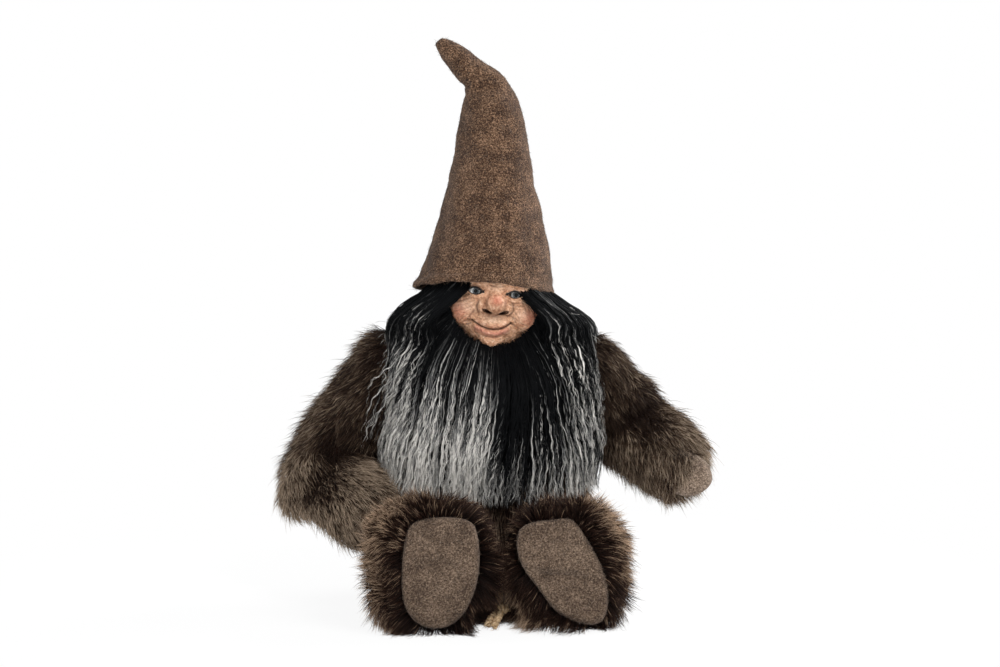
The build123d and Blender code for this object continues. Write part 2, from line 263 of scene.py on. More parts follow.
def build_mesh(name, points, quads, triangles=(), maps=None):
    """A smooth mesh from points in millimetres and its faces, with texture maps given per point."""
    quads = np.array(quads, np.int32).reshape(-1, 4)
    triangles = np.array(triangles, np.int32).reshape(-1, 3)
    corners = np.concatenate([quads.ravel(), triangles.ravel()])
    starts = np.concatenate([np.arange(len(quads)) * 4, len(quads) * 4 + np.arange(len(triangles)) * 3])
    mesh = bpy.data.meshes.new(name)
    mesh.vertices.add(len(points))
    mesh.vertices.foreach_set("co", (points * MM).astype(np.float32).ravel())
    mesh.loops.add(len(corners))
    mesh.loops.foreach_set("vertex_index", corners)
    mesh.polygons.add(len(starts))
    mesh.polygons.foreach_set("loop_start", starts.astype(np.int32))
    mesh.update(calc_edges=True)
    for map_name, uv in (maps or {}).items():
        layer = mesh.uv_layers.new(name=map_name)
        layer.data.foreach_set("uv", uv[corners].astype(np.float32).ravel())
    mesh.validate()
    mesh.shade_smooth()
    return mesh


def triples(items, key, kind):
    """Three numbers of each of a mesh's items."""
    numbers = np.empty(len(items) * 3, kind)
    items.foreach_get(key, numbers)
    return numbers.reshape(-1, 3)


def shape_of(obj):
    """Points and normals in millimetres, and triangles, of an object as its modifiers leave it."""
    evaluated = obj.evaluated_get(bpy.context.evaluated_depsgraph_get())
    mesh = evaluated.to_mesh()
    mesh.calc_loop_triangles()
    points = triples(mesh.vertices, "co", np.float32).astype(float) / MM
    normals = triples(mesh.vertex_normals, "vector", np.float32).astype(float)
    triangles = triples(mesh.loop_triangles, "vertices", np.int32)
    evaluated.to_mesh_clear()
    return points, normals, triangles


def move_points(obj, points):
    """Gives an object's points new places, in millimetres."""
    obj.data.vertices.foreach_set("co", (points * MM).astype(np.float32).ravel())
    obj.data.update()


def settle(obj):
    """Replaces an object's mesh with what its modifiers make of it."""
    evaluated = obj.evaluated_get(bpy.context.evaluated_depsgraph_get())
    mesh = bpy.data.meshes.new_from_object(evaluated)
    obj.modifiers.clear()
    obj.data = mesh


def scatter(obj, count, rng):
    """Random points spread evenly over an object, with their normals."""
    points, normals, triangles = shape_of(obj)
    a, b, c = (points[triangles[:, i]] for i in range(3))
    areas = np.linalg.norm(np.cross(b - a, c - a), axis=1)
    chosen = triangles[rng.choice(len(triangles), count, p=areas / areas.sum())]
    share = rng.random((count, 2))
    fold = share.sum(1) > 1
    share[fold] = 1 - share[fold]
    weights = np.stack([1 - share.sum(1), share[:, 0], share[:, 1]], 1)[:, :, None]
    return (points[chosen] * weights).sum(1), unit((normals[chosen] * weights).sum(1))


def nearest(points, centres):
    """For each point, which centre is nearest."""
    tree = KDTree(len(centres))
    for i, centre in enumerate(centres):
        tree.insert(centre, i)
    tree.balance()
    return np.array([tree.find(p)[1] for p in points])


def line_frame(line, hint):
    """Two directions square to a line, and to each other, that turn as little as they can along it."""
    way = unit(np.gradient(line, axis=0))
    side = np.empty_like(way)
    side[0] = unit(np.cross(way[0], hint))
    for i in range(1, len(line)):
        side[i] = unit(side[i - 1] - way[i] * (side[i - 1] @ way[i]))
    return side, np.cross(way, side)


def ring_faces(rings, segments, first, last, turned=False):
    """Quads between rings of points, and the fans that close the first and the last ring round a point."""
    r, k = np.meshgrid(np.arange(rings - 1) * segments, np.arange(segments), indexing="ij")
    after = (k + 1) % segments
    quads = np.stack([r + k, r + after, r + segments + after, r + segments + k], -1).reshape(-1, 4)
    k, after, end = k[0], after[0], (rings - 1) * segments
    opening = np.stack([np.full(segments, first), after, k], 1)
    closing = np.stack([np.full(segments, last), end + k, end + after], 1)
    if turned:
        return quads[:, [0, 3, 2, 1]], opening[:, [0, 2, 1]], closing[:, [0, 2, 1]]
    return quads, opening, closing


# Strands


def strand_mesh(name, paths, radii, shade, rng):
    """Three-sided strands that taper to a point. Each has its shade across the map and its length up it."""
    count, rings, _ = paths.shape
    body = rings - 1
    way = unit(np.gradient(paths, axis=1))
    side = unit(np.cross(way, unit(rng.normal(size=(count, 1, 3)))))
    other = np.cross(way, side)
    angles = np.arange(3) * 2 * math.pi / 3
    spread = np.cos(angles)[:, None] * side[:, :body, None] + np.sin(angles)[:, None] * other[:, :body, None]
    around = paths[:, :body, None] + radii[:, :body, None, None] * spread
    points = np.concatenate([around.reshape(count, body * 3, 3), paths[:, -1:]], 1)

    quads = [
        (3 * r + k, 3 * r + (k + 1) % 3, 3 * r + 3 + (k + 1) % 3, 3 * r + 3 + k)
        for r in range(body - 1)
        for k in range(3)
    ]
    last = 3 * (body - 1)
    triangles = [(last + k, last + (k + 1) % 3, last + 3) for k in range(3)] + [(2, 1, 0)]
    first = (np.arange(count) * (body * 3 + 1))[:, None, None]
    uv = np.empty((count, body * 3 + 1, 2))
    across = np.tile([-0.0012, 0.0, 0.0012], body)
    uv[:, :-1, 0] = np.clip(shade[:, None], 0.002, 0.998) + across
    uv[:, -1, 0] = np.clip(shade, 0.002, 0.998)
    uv[:, :, 1] = np.append(np.repeat(np.arange(body), 3), body) / body
    uv = uv.reshape(-1, 2)
    quads = (first + np.array(quads)).reshape(-1, 4)
    triangles = (first + np.array(triangles)).reshape(-1, 3)
    return build_mesh(name, points.reshape(-1, 3), quads, triangles, {"strand": uv, "OFBake": uv})


def strand_pieces(name, paths, radii, shade, material, per_piece):
    """Strands as one or more objects, split from side to side where there are many."""
    pieces = max(1, math.ceil(len(paths) / per_piece))
    order = np.argsort(paths[:, 0, 0], kind="stable")
    found = []
    for i, chosen in enumerate(np.array_split(order, pieces)):
        title = name if pieces == 1 else f"{name}_{i + 1}"
        mesh = strand_mesh(title, paths[chosen], radii[chosen], shade[chosen], random_for(title))
        found.append(add_object(title, mesh, material))
    return found


def swirled(points, size, rng):
    """A direction at each point that changes softly from place to place."""
    way = np.zeros_like(points)
    for axis in range(3):
        for _ in range(4):
            way[:, axis] += np.sin(points @ rng.normal(0, 2 * math.pi / size, 3) + rng.uniform(0, 6.28))
    return way / 2


def soft_stop(values, stop, give):
    """Values that come to rest a little below a stop instead of running past it."""
    past = np.maximum(stop - values, 0)
    return values + past - give * np.tanh(past / give)


def over(value, points):
    """A number, or a function of places, as one number for each place."""
    return value(points) if callable(value) else np.full(len(points), float(value))


def tapered(radius, count, rng):
    """The radii of strands that differ a little and end in a point."""
    return radius * rng.uniform(0.7, 1.3, (count, 1)) * FUR_TAPER


def fur(
    name, hide, count, comb, bald, material,
    length=FUR_LENGTH, lift=0.45, tone=0.0, swirl=0.25, droop=0.22, clump=0.55,
):
    """Long-pile fur on a fabric: strands combed one way, with swirls, drawn together in clumps.

    The length, lift, tone and swirl may be numbers, or functions of the roots' places.
    """
    rng = random_for(name)
    roots, normals = scatter(hide, count, rng)
    kept = ~bald(roots, normals)
    roots, normals = roots[kept], normals[kept]
    count = len(roots)
    flow = unit(unit(comb(roots)) + swirled(roots, 60.0, rng) * over(swirl, roots)[:, None])
    lift = over(lift, roots)
    flow = unit(flow - normals * (flow * normals).sum(1, keepdims=True) * 0.7)
    jitter = rng.normal(size=(count, 2, 3))
    stray = rng.random(count) < FUR_STRAYS
    rise = np.where(stray, lift + 0.35, lift * rng.uniform(0.7, 1.3, count))[:, None]
    start = unit(normals * (rise + 0.25) + flow * 0.7 + jitter[:, 0] * 0.22)
    end = unit(normals * rise * 0.4 + flow + np.array([0, 0, -droop]) + jitter[:, 1] * 0.25)
    long = over(length, roots) * rng.uniform(0.65, 1.2, count) * np.where(stray, 1.2, 1.0)
    t = FUR_STEPS[None, :, None]
    run = start[:, None] * (t - t * t / 2) + end[:, None] * t * t / 2
    paths = roots[:, None] - normals[:, None] * 1.5 + long[:, None, None] * run

    centres = rng.choice(count, max(1, count // FUR_PER_CLUMP), replace=False)
    mine = centres[nearest(roots, roots[centres])]
    pull = np.where(stray, 0.1, rng.uniform(0.1, clump, count))[:, None, None] * t**1.3
    paths = paths + (paths[mine] - paths) * pull
    paths[:, :, 2] = np.maximum(paths[:, :, 2], FLOOR + FUR_RADIUS)
    for axis, (stop, give) in FUR_STOPS.items():
        paths[:, :, axis] = soft_stop(paths[:, :, axis], stop, give)

    # A caller's tone may carry painted shade, as in the elbows' folds, beside the soles and between the feet
    shade = 0.5 + 0.2 * rng.normal(size=count) + 0.12 * rng.normal(size=count)[mine] + over(tone, roots)
    radii = tapered(FUR_RADIUS, count, rng)
    return strand_pieces(name, paths, radii, np.clip(shade, 0, 1), material, FUR_PER_PIECE)


def fuzz(name, obj, kind, material):
    """Loose fibres that lie on felt in all directions."""
    count, length = FUZZ[kind]
    rng = random_for(name)
    roots, normals = scatter(obj, count, rng)
    flow = rng.normal(size=(count, 3))
    flow = unit(flow - normals * (flow * normals).sum(1, keepdims=True))
    turn = np.cross(normals, flow) * rng.normal(0, 0.5, (count, 1))
    long = length * rng.uniform(0.5, 1.5, (count, 1, 1))
    rise = rng.uniform(0.02, 0.28, (count, 1, 1))
    t = np.array([0.0, 0.35, 0.7, 1.0])[None, :, None]
    paths = roots[:, None] - normals[:, None] * 0.25
    paths = paths + long * (flow[:, None] * t + turn[:, None] * t * t + normals[:, None] * rise * t)
    radii = tapered(FUZZ_RADIUS, count, rng)
    return strand_pieces(name, paths, radii, rng.random(count), material, FUR_PER_PIECE)


# Materials


def add_node(tree, kind, inputs=None, **settings):
    """A node with its settings, and its inputs linked to sockets or set to plain values."""
    node = tree.nodes.new(f"ShaderNode{kind}")
    for name, value in settings.items():
        setattr(node, name, value)
    for key, value in (inputs or {}).items():
        if isinstance(value, bpy.types.NodeSocket):
            tree.links.new(value, node.inputs[key])
        else:
            node.inputs[key].default_value = value
    return node


class Shader:
    """A material with a short way to add and join its nodes."""

    def __init__(self, name, roughness, **values):
        self.material = bpy.data.materials.new(name)
        self.material.use_nodes = True
        self.tree = self.material.node_tree
        self.surface = self.tree.nodes["Principled BSDF"]
        self.surface.inputs["Roughness"].default_value = roughness
        for socket, value in values.items():
            self.surface.inputs[socket.replace("_", " ")].default_value = value

    def place(self, stretch=(1, 1, 1), turn=(0, 0, 0)):
        """Coordinates on the piece, in metres, drawn out along axes that are turned first."""
        source = add_node(self.tree, "TexCoord").outputs["Object"]
        inputs = {"Vector": source, "Scale": stretch, "Rotation": turn}
        return add_node(self.tree, "Mapping", inputs, vector_type="TEXTURE").outputs["Vector"]

    def map(self, name):
        """The two numbers of a texture map."""
        source = add_node(self.tree, "UVMap", uv_map=name).outputs["UV"]
        numbers = add_node(self.tree, "SeparateXYZ", {"Vector": source}).outputs
        return numbers["X"], numbers["Y"]

    def value(self, name):
        """A number stored at the mesh's points."""
        return add_node(self.tree, "Attribute", attribute_name=name).outputs["Fac"]

    def noise(self, place, scale, detail=3.0, roughness=0.55):
        inputs = {"Vector": place, "Scale": scale, "Detail": detail, "Roughness": roughness}
        return add_node(self.tree, "TexNoise", inputs).outputs["Fac"]

    def math(self, operation, a, b=0.0, clamp=False):
        node = add_node(self.tree, "Math", {0: a, 1: b}, operation=operation, use_clamp=clamp)
        return node.outputs["Value"]

    def span(self, value, low, high, to_low=0.0, to_high=1.0):
        """A value from one range mapped smoothly to another."""
        inputs = {"Value": value, "From Min": low, "From Max": high, "To Min": to_low, "To Max": to_high}
        return add_node(self.tree, "MapRange", inputs, interpolation_type="SMOOTHSTEP").outputs["Result"]

    def mix(self, share, *colours):
        """Two colours, mixed by a share of the second."""
        first, second = (c if isinstance(c, bpy.types.NodeSocket) else (*c, 1.0) for c in colours)
        inputs = {"Factor": share, 6: first, 7: second}
        return add_node(self.tree, "Mix", inputs, data_type="RGBA").outputs[2]

    def steps(self, value, stops):
        """A colour ramp of (place, colour) stops."""
        node = add_node(self.tree, "ValToRGB", {"Fac": value})
        marks = node.color_ramp.elements
        while len(marks) < len(stops):
            marks.new(0.5)
        for mark, (at, colour) in zip(marks, stops):
            mark.position = at
            mark.color = (*colour, 1.0)
        return node.outputs["Color"]

    def bump(self, height, distance, strength=1.0):
        node = add_node(self.tree, "Bump", {"Height": height, "Distance": distance, "Strength": strength})
        self.tree.links.new(node.outputs["Normal"], self.surface.inputs["Normal"])

    def colour(self, socket):
        self.tree.links.new(socket, self.surface.inputs["Base Color"])
        return self.material


def fur_material(name, root, middle, tip):
    """Dark roots and pale tips, with lighter and darker clumps and patches."""
    s = Shader(name, 0.6, Specular_IOR_Level=0.1)
    shade, up = s.map("strand")
    patch = s.noise(s.place(), 22.0, 2.0)
    lighter = s.math("ADD", s.math("MULTIPLY", shade, 0.62), s.math("MULTIPLY", patch, 0.45))
    reach = s.math("ADD", up, s.span(lighter, 0.2, 0.85, -0.45, 0.28), clamp=True)
    colour = s.steps(reach, [(0.15, root), (0.6, middle), (0.98, tip)])
    return s.colour(s.mix(s.span(shade, 0.72, 1.0, 0.0, 0.5), colour, tip))


def hide_material(name, colour, dark):
    s = Shader(name, 0.9, Specular_IOR_Level=0.1)
    grain = s.noise(s.place((1, 1, 3)), 260.0)
    s.bump(grain, 0.002)
    return s.colour(s.steps(grain, [(0.3, dark), (0.7, colour)]))


def wool_material(name, black, grey, silver):
    """Black wool that turns to silver towards its ends, sooner in the paler locks."""
    s = Shader(name, 0.6, Specular_IOR_Level=0.06)
    pale, up = s.map("strand")
    reach = s.math("ADD", up, s.span(pale, 0.0, 1.0, -0.75, 0.45))
    streak = s.noise(s.place((1, 1, 16)), 380.0, 2.0)
    single = s.math("FRACT", s.math("MULTIPLY", pale, 61.0))
    dark = s.math("ADD", s.span(streak, 0.46, 0.62, 0.0, 0.55), s.math("MULTIPLY", single, 0.3))
    tone = s.math("MULTIPLY", s.span(reach, 0.32, 0.7), s.span(dark, 0.0, 1.0, 1.0, 0.5))
    return s.colour(s.steps(tone, [(0.0, black), (0.5, grey), (1.0, silver)]))


def felt_material(name, dark, middle, light, scale):
    """Felted wool: pale and dark fibres that cross in all directions."""
    s = Shader(name, 0.95, Specular_IOR_Level=0.15, Sheen_Weight=0.06, Sheen_Roughness=0.5)
    fibres = None
    for turn in ((0.2, 1.2, 0.3), (0.8, -0.9, 0.4), (0.3, 2.0, 1.3), (1.4, 0.3, 0.9)):
        layer = s.noise(s.place((1, 1, 3), turn), scale, 4.0, 0.75)
        fibres = layer if fibres is None else s.math("MAXIMUM", fibres, layer)
    cloud = s.noise(s.place(), scale * 0.07, 3.0)
    mottle = s.noise(s.place(), scale * 0.8, 4.0, 0.75)
    tone = s.math("ADD", s.math("MULTIPLY", fibres, 0.6), s.math("MULTIPLY", mottle, 0.4))
    tone = s.math("ADD", tone, s.span(cloud, 0.3, 0.7, -0.02, 0.02))
    s.bump(tone, 0.0025)
    return s.colour(s.steps(tone, [(0.5, dark), (0.56, middle), (0.63, light)]))


def fibre_material(name, dark, light):
    s = Shader(name, 0.8)
    shade, _ = s.map("strand")
    return s.colour(s.steps(shade, [(0.35, dark), (1.0, light)]))


def skin_material(name):
    """Painted moulded skin: tan, rosy on nose and cheeks, with brown painted shade in its hollows and creases
    and painted highlights on its ridges.
    """
    s = Shader(name, 0.42, Specular_IOR_Level=0.45, Subsurface_Weight=0.05)
    s.surface.inputs["Subsurface Radius"].default_value = (0.004, 0.002, 0.001)
    mottle = s.noise(s.place(), 230.0, 5.0, 0.75)
    tan = [(0.36, (0.33, 0.14, 0.068)), (0.5, (0.64, 0.345, 0.2)), (0.64, (0.9, 0.6, 0.41))]
    colour = s.steps(mottle, tan)
    colour = s.mix(s.value("blush"), colour, (0.6, 0.145, 0.085))
    patchy = s.math("MULTIPLY", s.value("lips"), s.span(s.noise(s.place(), 330.0, 3.0), 0.3, 0.6, 0.6, 1.2))
    colour = s.mix(patchy, colour, (0.5, 0.17, 0.125))
    # Painted highlights on the ridges of the cheeks, upper lip and brow
    colour = s.mix(s.value("pale"), colour, (0.82, 0.6, 0.44))
    # Painted shade under and beside the nose, on the nose, under the lower lip and at the face's edge by the
    # hair
    colour = s.mix(s.value("painted_shade"), colour, (0.19, 0.08, 0.04))
    crackle = s.noise(s.place((1, 1, 0.6), (0.2, 0.5, 0.1)), 420.0, 5.0, 0.75)
    colour = s.mix(s.span(crackle, 0.52, 0.66, 0.0, 0.6), colour, (0.27, 0.12, 0.065))
    # Painted shade in the creases, nostrils, mouth and round the lids
    colour = s.mix(s.value("crease"), colour, (0.06, 0.022, 0.012))
    colour = s.mix(s.value("line"), colour, (0.006, 0.005, 0.005))
    s.bump(s.noise(s.place((1, 1, 0.7)), 430.0, 5.0, 0.7), 0.003, 0.8)
    return s.colour(colour)


def eye_material(name):
    """White with a grey iris and a black pupil, by the angle from the gaze; the white darkens and warms
    towards the lids as painted shade.
    """
    s = Shader(name, 0.25, Specular_IOR_Level=0.12, Coat_Weight=0.12, Coat_Roughness=0.03)
    angle = s.value("angle")
    streaks = s.noise(s.place(), 900.0, 2.0)
    iris = s.mix(streaks, (0.07, 0.078, 0.083), (0.2, 0.215, 0.225))
    # Painted shade: the white darkens towards the lids
    white = s.mix(s.span(angle, 0.5, 1.1), (0.8, 0.79, 0.77), (0.5, 0.42, 0.38))
    colour = s.mix(s.span(angle, 0.23, 0.26), (0.001, 0.001, 0.001), iris)
    colour = s.mix(s.span(angle, 0.37, 0.4), colour, (0.012, 0.013, 0.014))
    return s.colour(s.mix(s.span(angle, 0.41, 0.45), colour, white))


def rope_material(name):
    """Jute: fine strands along each ply."""
    s = Shader(name, 0.85)
    around, _ = s.map("ply")
    fine = s.noise(s.place(), 700.0, 4.0, 0.7)
    threads = s.math("SINE", s.math("MULTIPLY", around, 75.0))
    tone = s.math("ADD", s.math("MULTIPLY", threads, 0.12), fine)
    s.bump(tone, 0.0012)
    stops = [(0.3, (0.24, 0.13, 0.05)), (0.5, (0.68, 0.46, 0.25)), (0.7, (0.95, 0.76, 0.52))]
    return s.colour(s.steps(tone, stops))


def plain_material(name, dark, light, scale, roughness):
    """A simple material with its own grain, for pieces inside the figure."""
    s = Shader(name, roughness)
    grain = s.noise(s.place(), scale, 4.0)
    s.bump(grain, 0.001, 0.6)
    return s.colour(s.steps(grain, [(0.35, dark), (0.65, light)]))


# Fabric under the fur


def add_remesh(obj, voxel, times):
    """Even small faces all over an object, smoothed a few times."""
    remesh = obj.modifiers.new("Remesh", "REMESH")
    remesh.mode = "VOXEL"
    remesh.voxel_size = voxel * MM
    remesh.use_smooth_shade = True
    smooth = obj.modifiers.new("Smooth", "SMOOTH")
    smooth.iterations = times


def swollen_copy(node, name, voxel, out, material):
    """A remeshed copy of a CAD solid, let out along its normals."""
    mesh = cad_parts[node].data.copy()
    mesh.materials.clear()
    obj = add_object(name, mesh, material)
    add_remesh(obj, voxel, 6)
    displace = obj.modifiers.new("Displace", "DISPLACE")
    displace.strength = out * MM
    displace.mid_level = 0.0
    settle(obj)
    return obj


def make_filling(node, name, voxel, out, moved, material):
    """Stuffing that keeps a little inside its cover, moved as the cover is."""
    filling = swollen_copy(node, name, voxel, out, material)
    move_points(filling, moved(shape_of(filling)[0]))
    return filling


def fold_distance(side, points):
    """How far points at the arm's front lie from the fold inside its elbow."""
    off = line_distance(points[:, 0], points[:, 2], ELBOW_FOLD[side])
    return np.where(points[:, 1] < 4.0, off, 1e3)


def sagged(side, points):
    """An arm's points, with the elbow's outer side let down and the forearm's underside taken up."""
    points = points.copy()
    outer = np.maximum(-190.0 - points[:, 0], 0)
    points[:, 2] -= ELBOW_DROOP[side] * outer * ease(230.0, 180.0, points[:, 2])
    ends = sorted(ARM_LINE[side][1:])
    axis = np.interp(points[:, 0], [p[0] for p in ends], [p[2] for p in ends])
    under = np.maximum(axis - points[:, 2], 0)
    points[:, 2] += FOREARM_TRIM[side] * under * ease(-200.0, -165.0, points[:, 0])
    return points


def sleeve(side, material):
    """The bent fabric tube of an arm, with a fold inside its elbow and an elbow that sags outwards."""
    hide = swollen_copy(f"{side}_arm_stuffing", f"{side}_arm_hide", HIDE_VOXEL, SLEEVE_OUT[side], material)
    lumpy(hide, 70.0, 1.5, f"{side} sleeve")
    points, normals, _ = shape_of(hide)
    off = fold_distance(side, points)
    points = points - normals * (9.0 * hump(off, 9.0))[:, None]
    move_points(hide, sagged(side, points))
    return hide


def arm_ways(side):
    """The ways along the upper arm and the forearm, and the share of the forearm at a place."""
    shoulder, elbow, wrist = (np.array(p) for p in ARM_LINE[side])
    upper, lower = unit(elbow - shoulder), unit(wrist - elbow)
    bend = unit(upper + lower)

    def share(points, soft=16.0):
        return ease(-soft, soft, (points - elbow) @ bend)

    return upper, lower, share


def comb_arm(side):
    """Fur runs down the sleeve and hangs a little."""
    upper, lower, share = arm_ways(side)
    flat = unit(lower * np.array([1.0, 0.4, 1.0]))

    def comb(points):
        part = share(points)[:, None]
        return unit(upper * (1 - part) + flat * part) + np.array([0, 0, -ARM_HANG[side]])

    return comb


def arm_tone_and_shade(side):
    """Dark fur on the upper arm, partly painted shade, and painted shade in the elbow's fold; pale fur on the
    forearm.
    """
    _, _, share = arm_ways(side)
    dark, pale = ARM_TONE_AND_SHADE[side]

    def tone(points):
        axis = np.interp(points[:, 2], [140.0, 240.0], [180.0, 104.0])
        outer = ease(4.0, 30.0, np.abs(points[:, 0]) - axis)
        # Painted shade: the fur darkens in the elbow's fold
        fold = hump(fold_distance(side, points), 14.0)
        return dark + (pale - dark) * share(points) + 0.14 * outer - 0.75 * fold

    return tone


def comb_torso(points):
    out = unit(points * np.array([1, 1, 0]))
    return out * 0.2 + np.array([0, 0, -1.0])


def comb_leg(points):
    return np.tile([0.0, -1.0, -0.35], (len(points), 1))


def fur_between(side, hide, material):
    """Fur low on a foot's inner side, which lies on the floor behind the rope's ends, dark as painted shade
    in the gap between the feet.
    """
    rng = random_for(f"{side} between")
    facts = FUR_BETWEEN[side]
    roots, _ = scatter(hide, PILE["between"], rng)
    low = ease(50.0, 34.0, roots[:, 2]) * ease(80.0, 64.0, np.abs(roots[:, 0] - 8.0))
    low = low * ease(facts["front"] - 4.0, facts["front"] + 6.0, roots[:, 1])
    roots = roots[low > rng.random(len(roots))]
    count = len(roots)
    x = rng.uniform(*facts["across"], count)
    y = roots[:, 1] + rng.uniform(*facts["back"], count)
    ends = np.stack([x, y, FLOOR + rng.uniform(0.3, 4.0, count)], 1)
    t = FUR_STEPS[None, :, None]
    paths = roots[:, None] + (ends - roots)[:, None] * t + rng.normal(0, 1.5, (count, 1, 3)) * t
    paths[:, :, 2] += (0.25 * roots[:, 2:] + 2.0) * (4 * t * (1 - t))[:, :, 0]
    paths[:, :, 2] = np.maximum(paths[:, :, 2], FLOOR + FUR_RADIUS)
    radii = tapered(FUR_RADIUS, count, rng)
    # Dark shades here are painted shade in the gap between the feet
    shade = np.clip(rng.normal(0.2, 0.13, count), 0, 1)
    return strand_pieces(f"{side}_foot_low_pile", paths, radii, shade, material, FUR_PER_PIECE)


def comb_foot(side):
    """Fur stands away from the sole all round, a little forward and down."""
    x, z = SOLES[side]["middle"]

    def comb(points):
        out = points - np.array([x, 0, z])
        out[:, 1] = 0
        forward = -0.4 - 0.7 * ease(36.0, 12.0, points[:, 2])
        return unit(out) * 1.1 + np.stack([out[:, 1], forward, np.full(len(points), -0.4)], 1)

    return comb


# Wool


class WoolForm:
    """How far the wool stands out from the neck's axis, read from the CAD solids by angle and height."""

    MIDDLE = (0.0, -12.0)
    ANGLES = np.radians(np.arange(-180, 181, 5))
    HEIGHTS = np.arange(120.0, 356.0, 5.0)
    NODES = ("beard", "hair_left", "hair_right", "hair_back")

    def __init__(self):
        trees = []
        for node in self.NODES:
            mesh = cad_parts[node].data
            mesh.calc_loop_triangles()
            corners = [v.co for v in mesh.vertices]
            trees.append(BVHTree.FromPolygons(corners, [t.vertices for t in mesh.loop_triangles]))
        reach = np.full((len(self.HEIGHTS), len(self.ANGLES)), np.nan)
        for i, z in enumerate(self.HEIGHTS):
            for j, angle in enumerate(self.ANGLES):
                out = Vector((math.sin(angle), -math.cos(angle), 0))
                start = Vector((self.MIDDLE[0], self.MIDDLE[1], z)) * MM + out * 0.4
                hits = [tree.ray_cast(start, -out, 0.39)[3] for tree in trees]
                hits = [h for h in hits if h is not None]
                if hits:
                    reach[i, j] = 400.0 - min(hits) / MM
        self.reach = self.smoothed(self.filled(reach))

    @staticmethod
    def beside(table):
        """What lies below, above, left and right of each place."""
        padded = np.pad(table, 1, mode="edge")
        return np.stack([padded[:-2, 1:-1], padded[2:, 1:-1], padded[1:-1, :-2], padded[1:-1, 2:]])

    def filled(self, table):
        """Gaps take the mean of what lies beside them, again and again."""
        while np.isnan(table).any():
            beside = self.beside(table)
            known = ~np.isnan(beside)
            mean = np.where(known, beside, 0).sum(0) / np.maximum(known.sum(0), 1)
            empty = np.isnan(table) & known.any(0)
            table[empty] = mean[empty]
        return table

    def smoothed(self, table, times=4):
        for _ in range(times):
            table = (self.beside(table).sum(0) + 2 * table) / 6
        return table

    def outward(self, points):
        """The level way out from the neck's axis."""
        return unit((points - np.array([*self.MIDDLE, 0])) * np.array([1, 1, 0]))

    def point(self, angle, z, layer):
        """The place at an angle and height, drawn in by the layer's share."""
        i = np.clip((z - self.HEIGHTS[0]) / 5.0, 0, len(self.HEIGHTS) - 1.001)
        j = np.clip((np.degrees(angle) + 180) / 5.0, 0, len(self.ANGLES) - 1.001)
        i0, j0 = i.astype(int), j.astype(int)
        fi, fj = i - i0, j - j0
        t = self.reach
        reach = (t[i0, j0] * (1 - fj) + t[i0, j0 + 1] * fj) * (1 - fi)
        reach = reach + (t[i0 + 1, j0] * (1 - fj) + t[i0 + 1, j0 + 1] * fj) * fi
        waist = np.where(angle > 0, 0.15, 0.19)
        slim = waist * hump(z - 205.0, np.where(z > 205.0, 65.0, 40.0))
        slim = slim - np.where(angle > 0, 0.07, 0.15) * hump(z - 118.0, 18.0)
        reach = reach * (1 - slim * np.sin(angle) ** 2)
        x = self.MIDDLE[0] + np.sin(angle) * reach * layer
        y = self.MIDDLE[1] - np.cos(angle) * reach * layer
        return np.stack([x, y, z], -1)


def lock_lines(form, angles, z, layer, roots=None, flare=(0.0, 0.3)):
    """The middle line of each lock, from its three angles, its two heights and its two layers."""
    s = WOOL_STEPS[None, :]
    first, second, third = (a[:, None] for a in angles)
    turned = first + (second - first) * ease(0, 0.22, s) + (third - second) * ease(0.12, 1, s)
    drop = z[0][:, None] + (z[1] - z[0])[:, None] * s
    depth = layer[0][:, None] + (layer[1] - layer[0])[:, None] * ease(*flare, s)
    line = form.point(turned, drop, depth)
    if roots is not None:
        share = ease(0, 0.3, s)[:, :, None]
        line = roots[:, None] * (1 - share) + line * share
    for _ in range(2):
        line[:, 1:-1] = (line[:, :-2] + 2 * line[:, 1:-1] + line[:, 2:]) / 4
    return line


def wool(name, form, line, per_lock, pale, material, wave=1.0, spread=2.6):
    """Crimped locks of wool along the given lines, each with its own shade."""
    rng = random_for(name)
    s = WOOL_STEPS[None, :]
    locks = len(line)
    count = locks * per_lock
    mine = np.repeat(np.arange(locks), per_lock)
    paths = line[mine]
    way = unit(np.gradient(paths, axis=1))
    out = form.outward(paths)
    side = unit(np.cross(way, out))
    long = np.linalg.norm(np.diff(line, axis=1), axis=2).sum(1)[mine][:, None]

    def waves(short, far, height, loose):
        """Waves that the strands of a lock share, but for a little."""
        pitch = rng.uniform(short, far, locks)[mine][:, None] * rng.normal(1, 0.01, (count, 1))
        phase = rng.uniform(0, 6.28, locks)[mine][:, None] + rng.normal(0, loose, (count, 1))
        size = height * rng.uniform(0.5, 1.5, locks)[mine][:, None] * (0.35 + 0.65 * s)
        return phase + 2 * math.pi * s * long / pitch, size

    slow, slow_size = waves(45.0, 80.0, 2.4 * wave, 0.2)
    crimp, crimp_size = waves(15.0, 21.0, 1.7 * wave, 0.3)
    gather = 1 - 0.62 * s
    offset = rng.normal(0, 0.5, (count, 2, 1)) * spread * gather[:, None, :]
    sideways = np.sin(slow) * slow_size + np.sin(crimp) * crimp_size + offset[:, 0]
    outwards = np.cos(slow) * slow_size * 0.5 + np.cos(crimp) * crimp_size * 0.6 + offset[:, 1] * 0.6
    paths = paths + side * sideways[:, :, None]
    paths = paths + out * outwards[:, :, None]
    cut = rng.uniform(0.98, 1.0, (count, 1, 1))
    paths = paths[:, :1] + (paths - paths[:, :1]) * (1 - (1 - cut) * s[:, :, None])

    shade = np.clip(pale[mine] + rng.normal(0, 0.08, count), 0, 1)
    radii = WOOL_RADIUS * rng.uniform(0.7, 1.3, (count, 1)) * (1 - 0.75 * s**3)
    return strand_pieces(name, paths, radii, shade, material, WOOL_PER_PIECE)


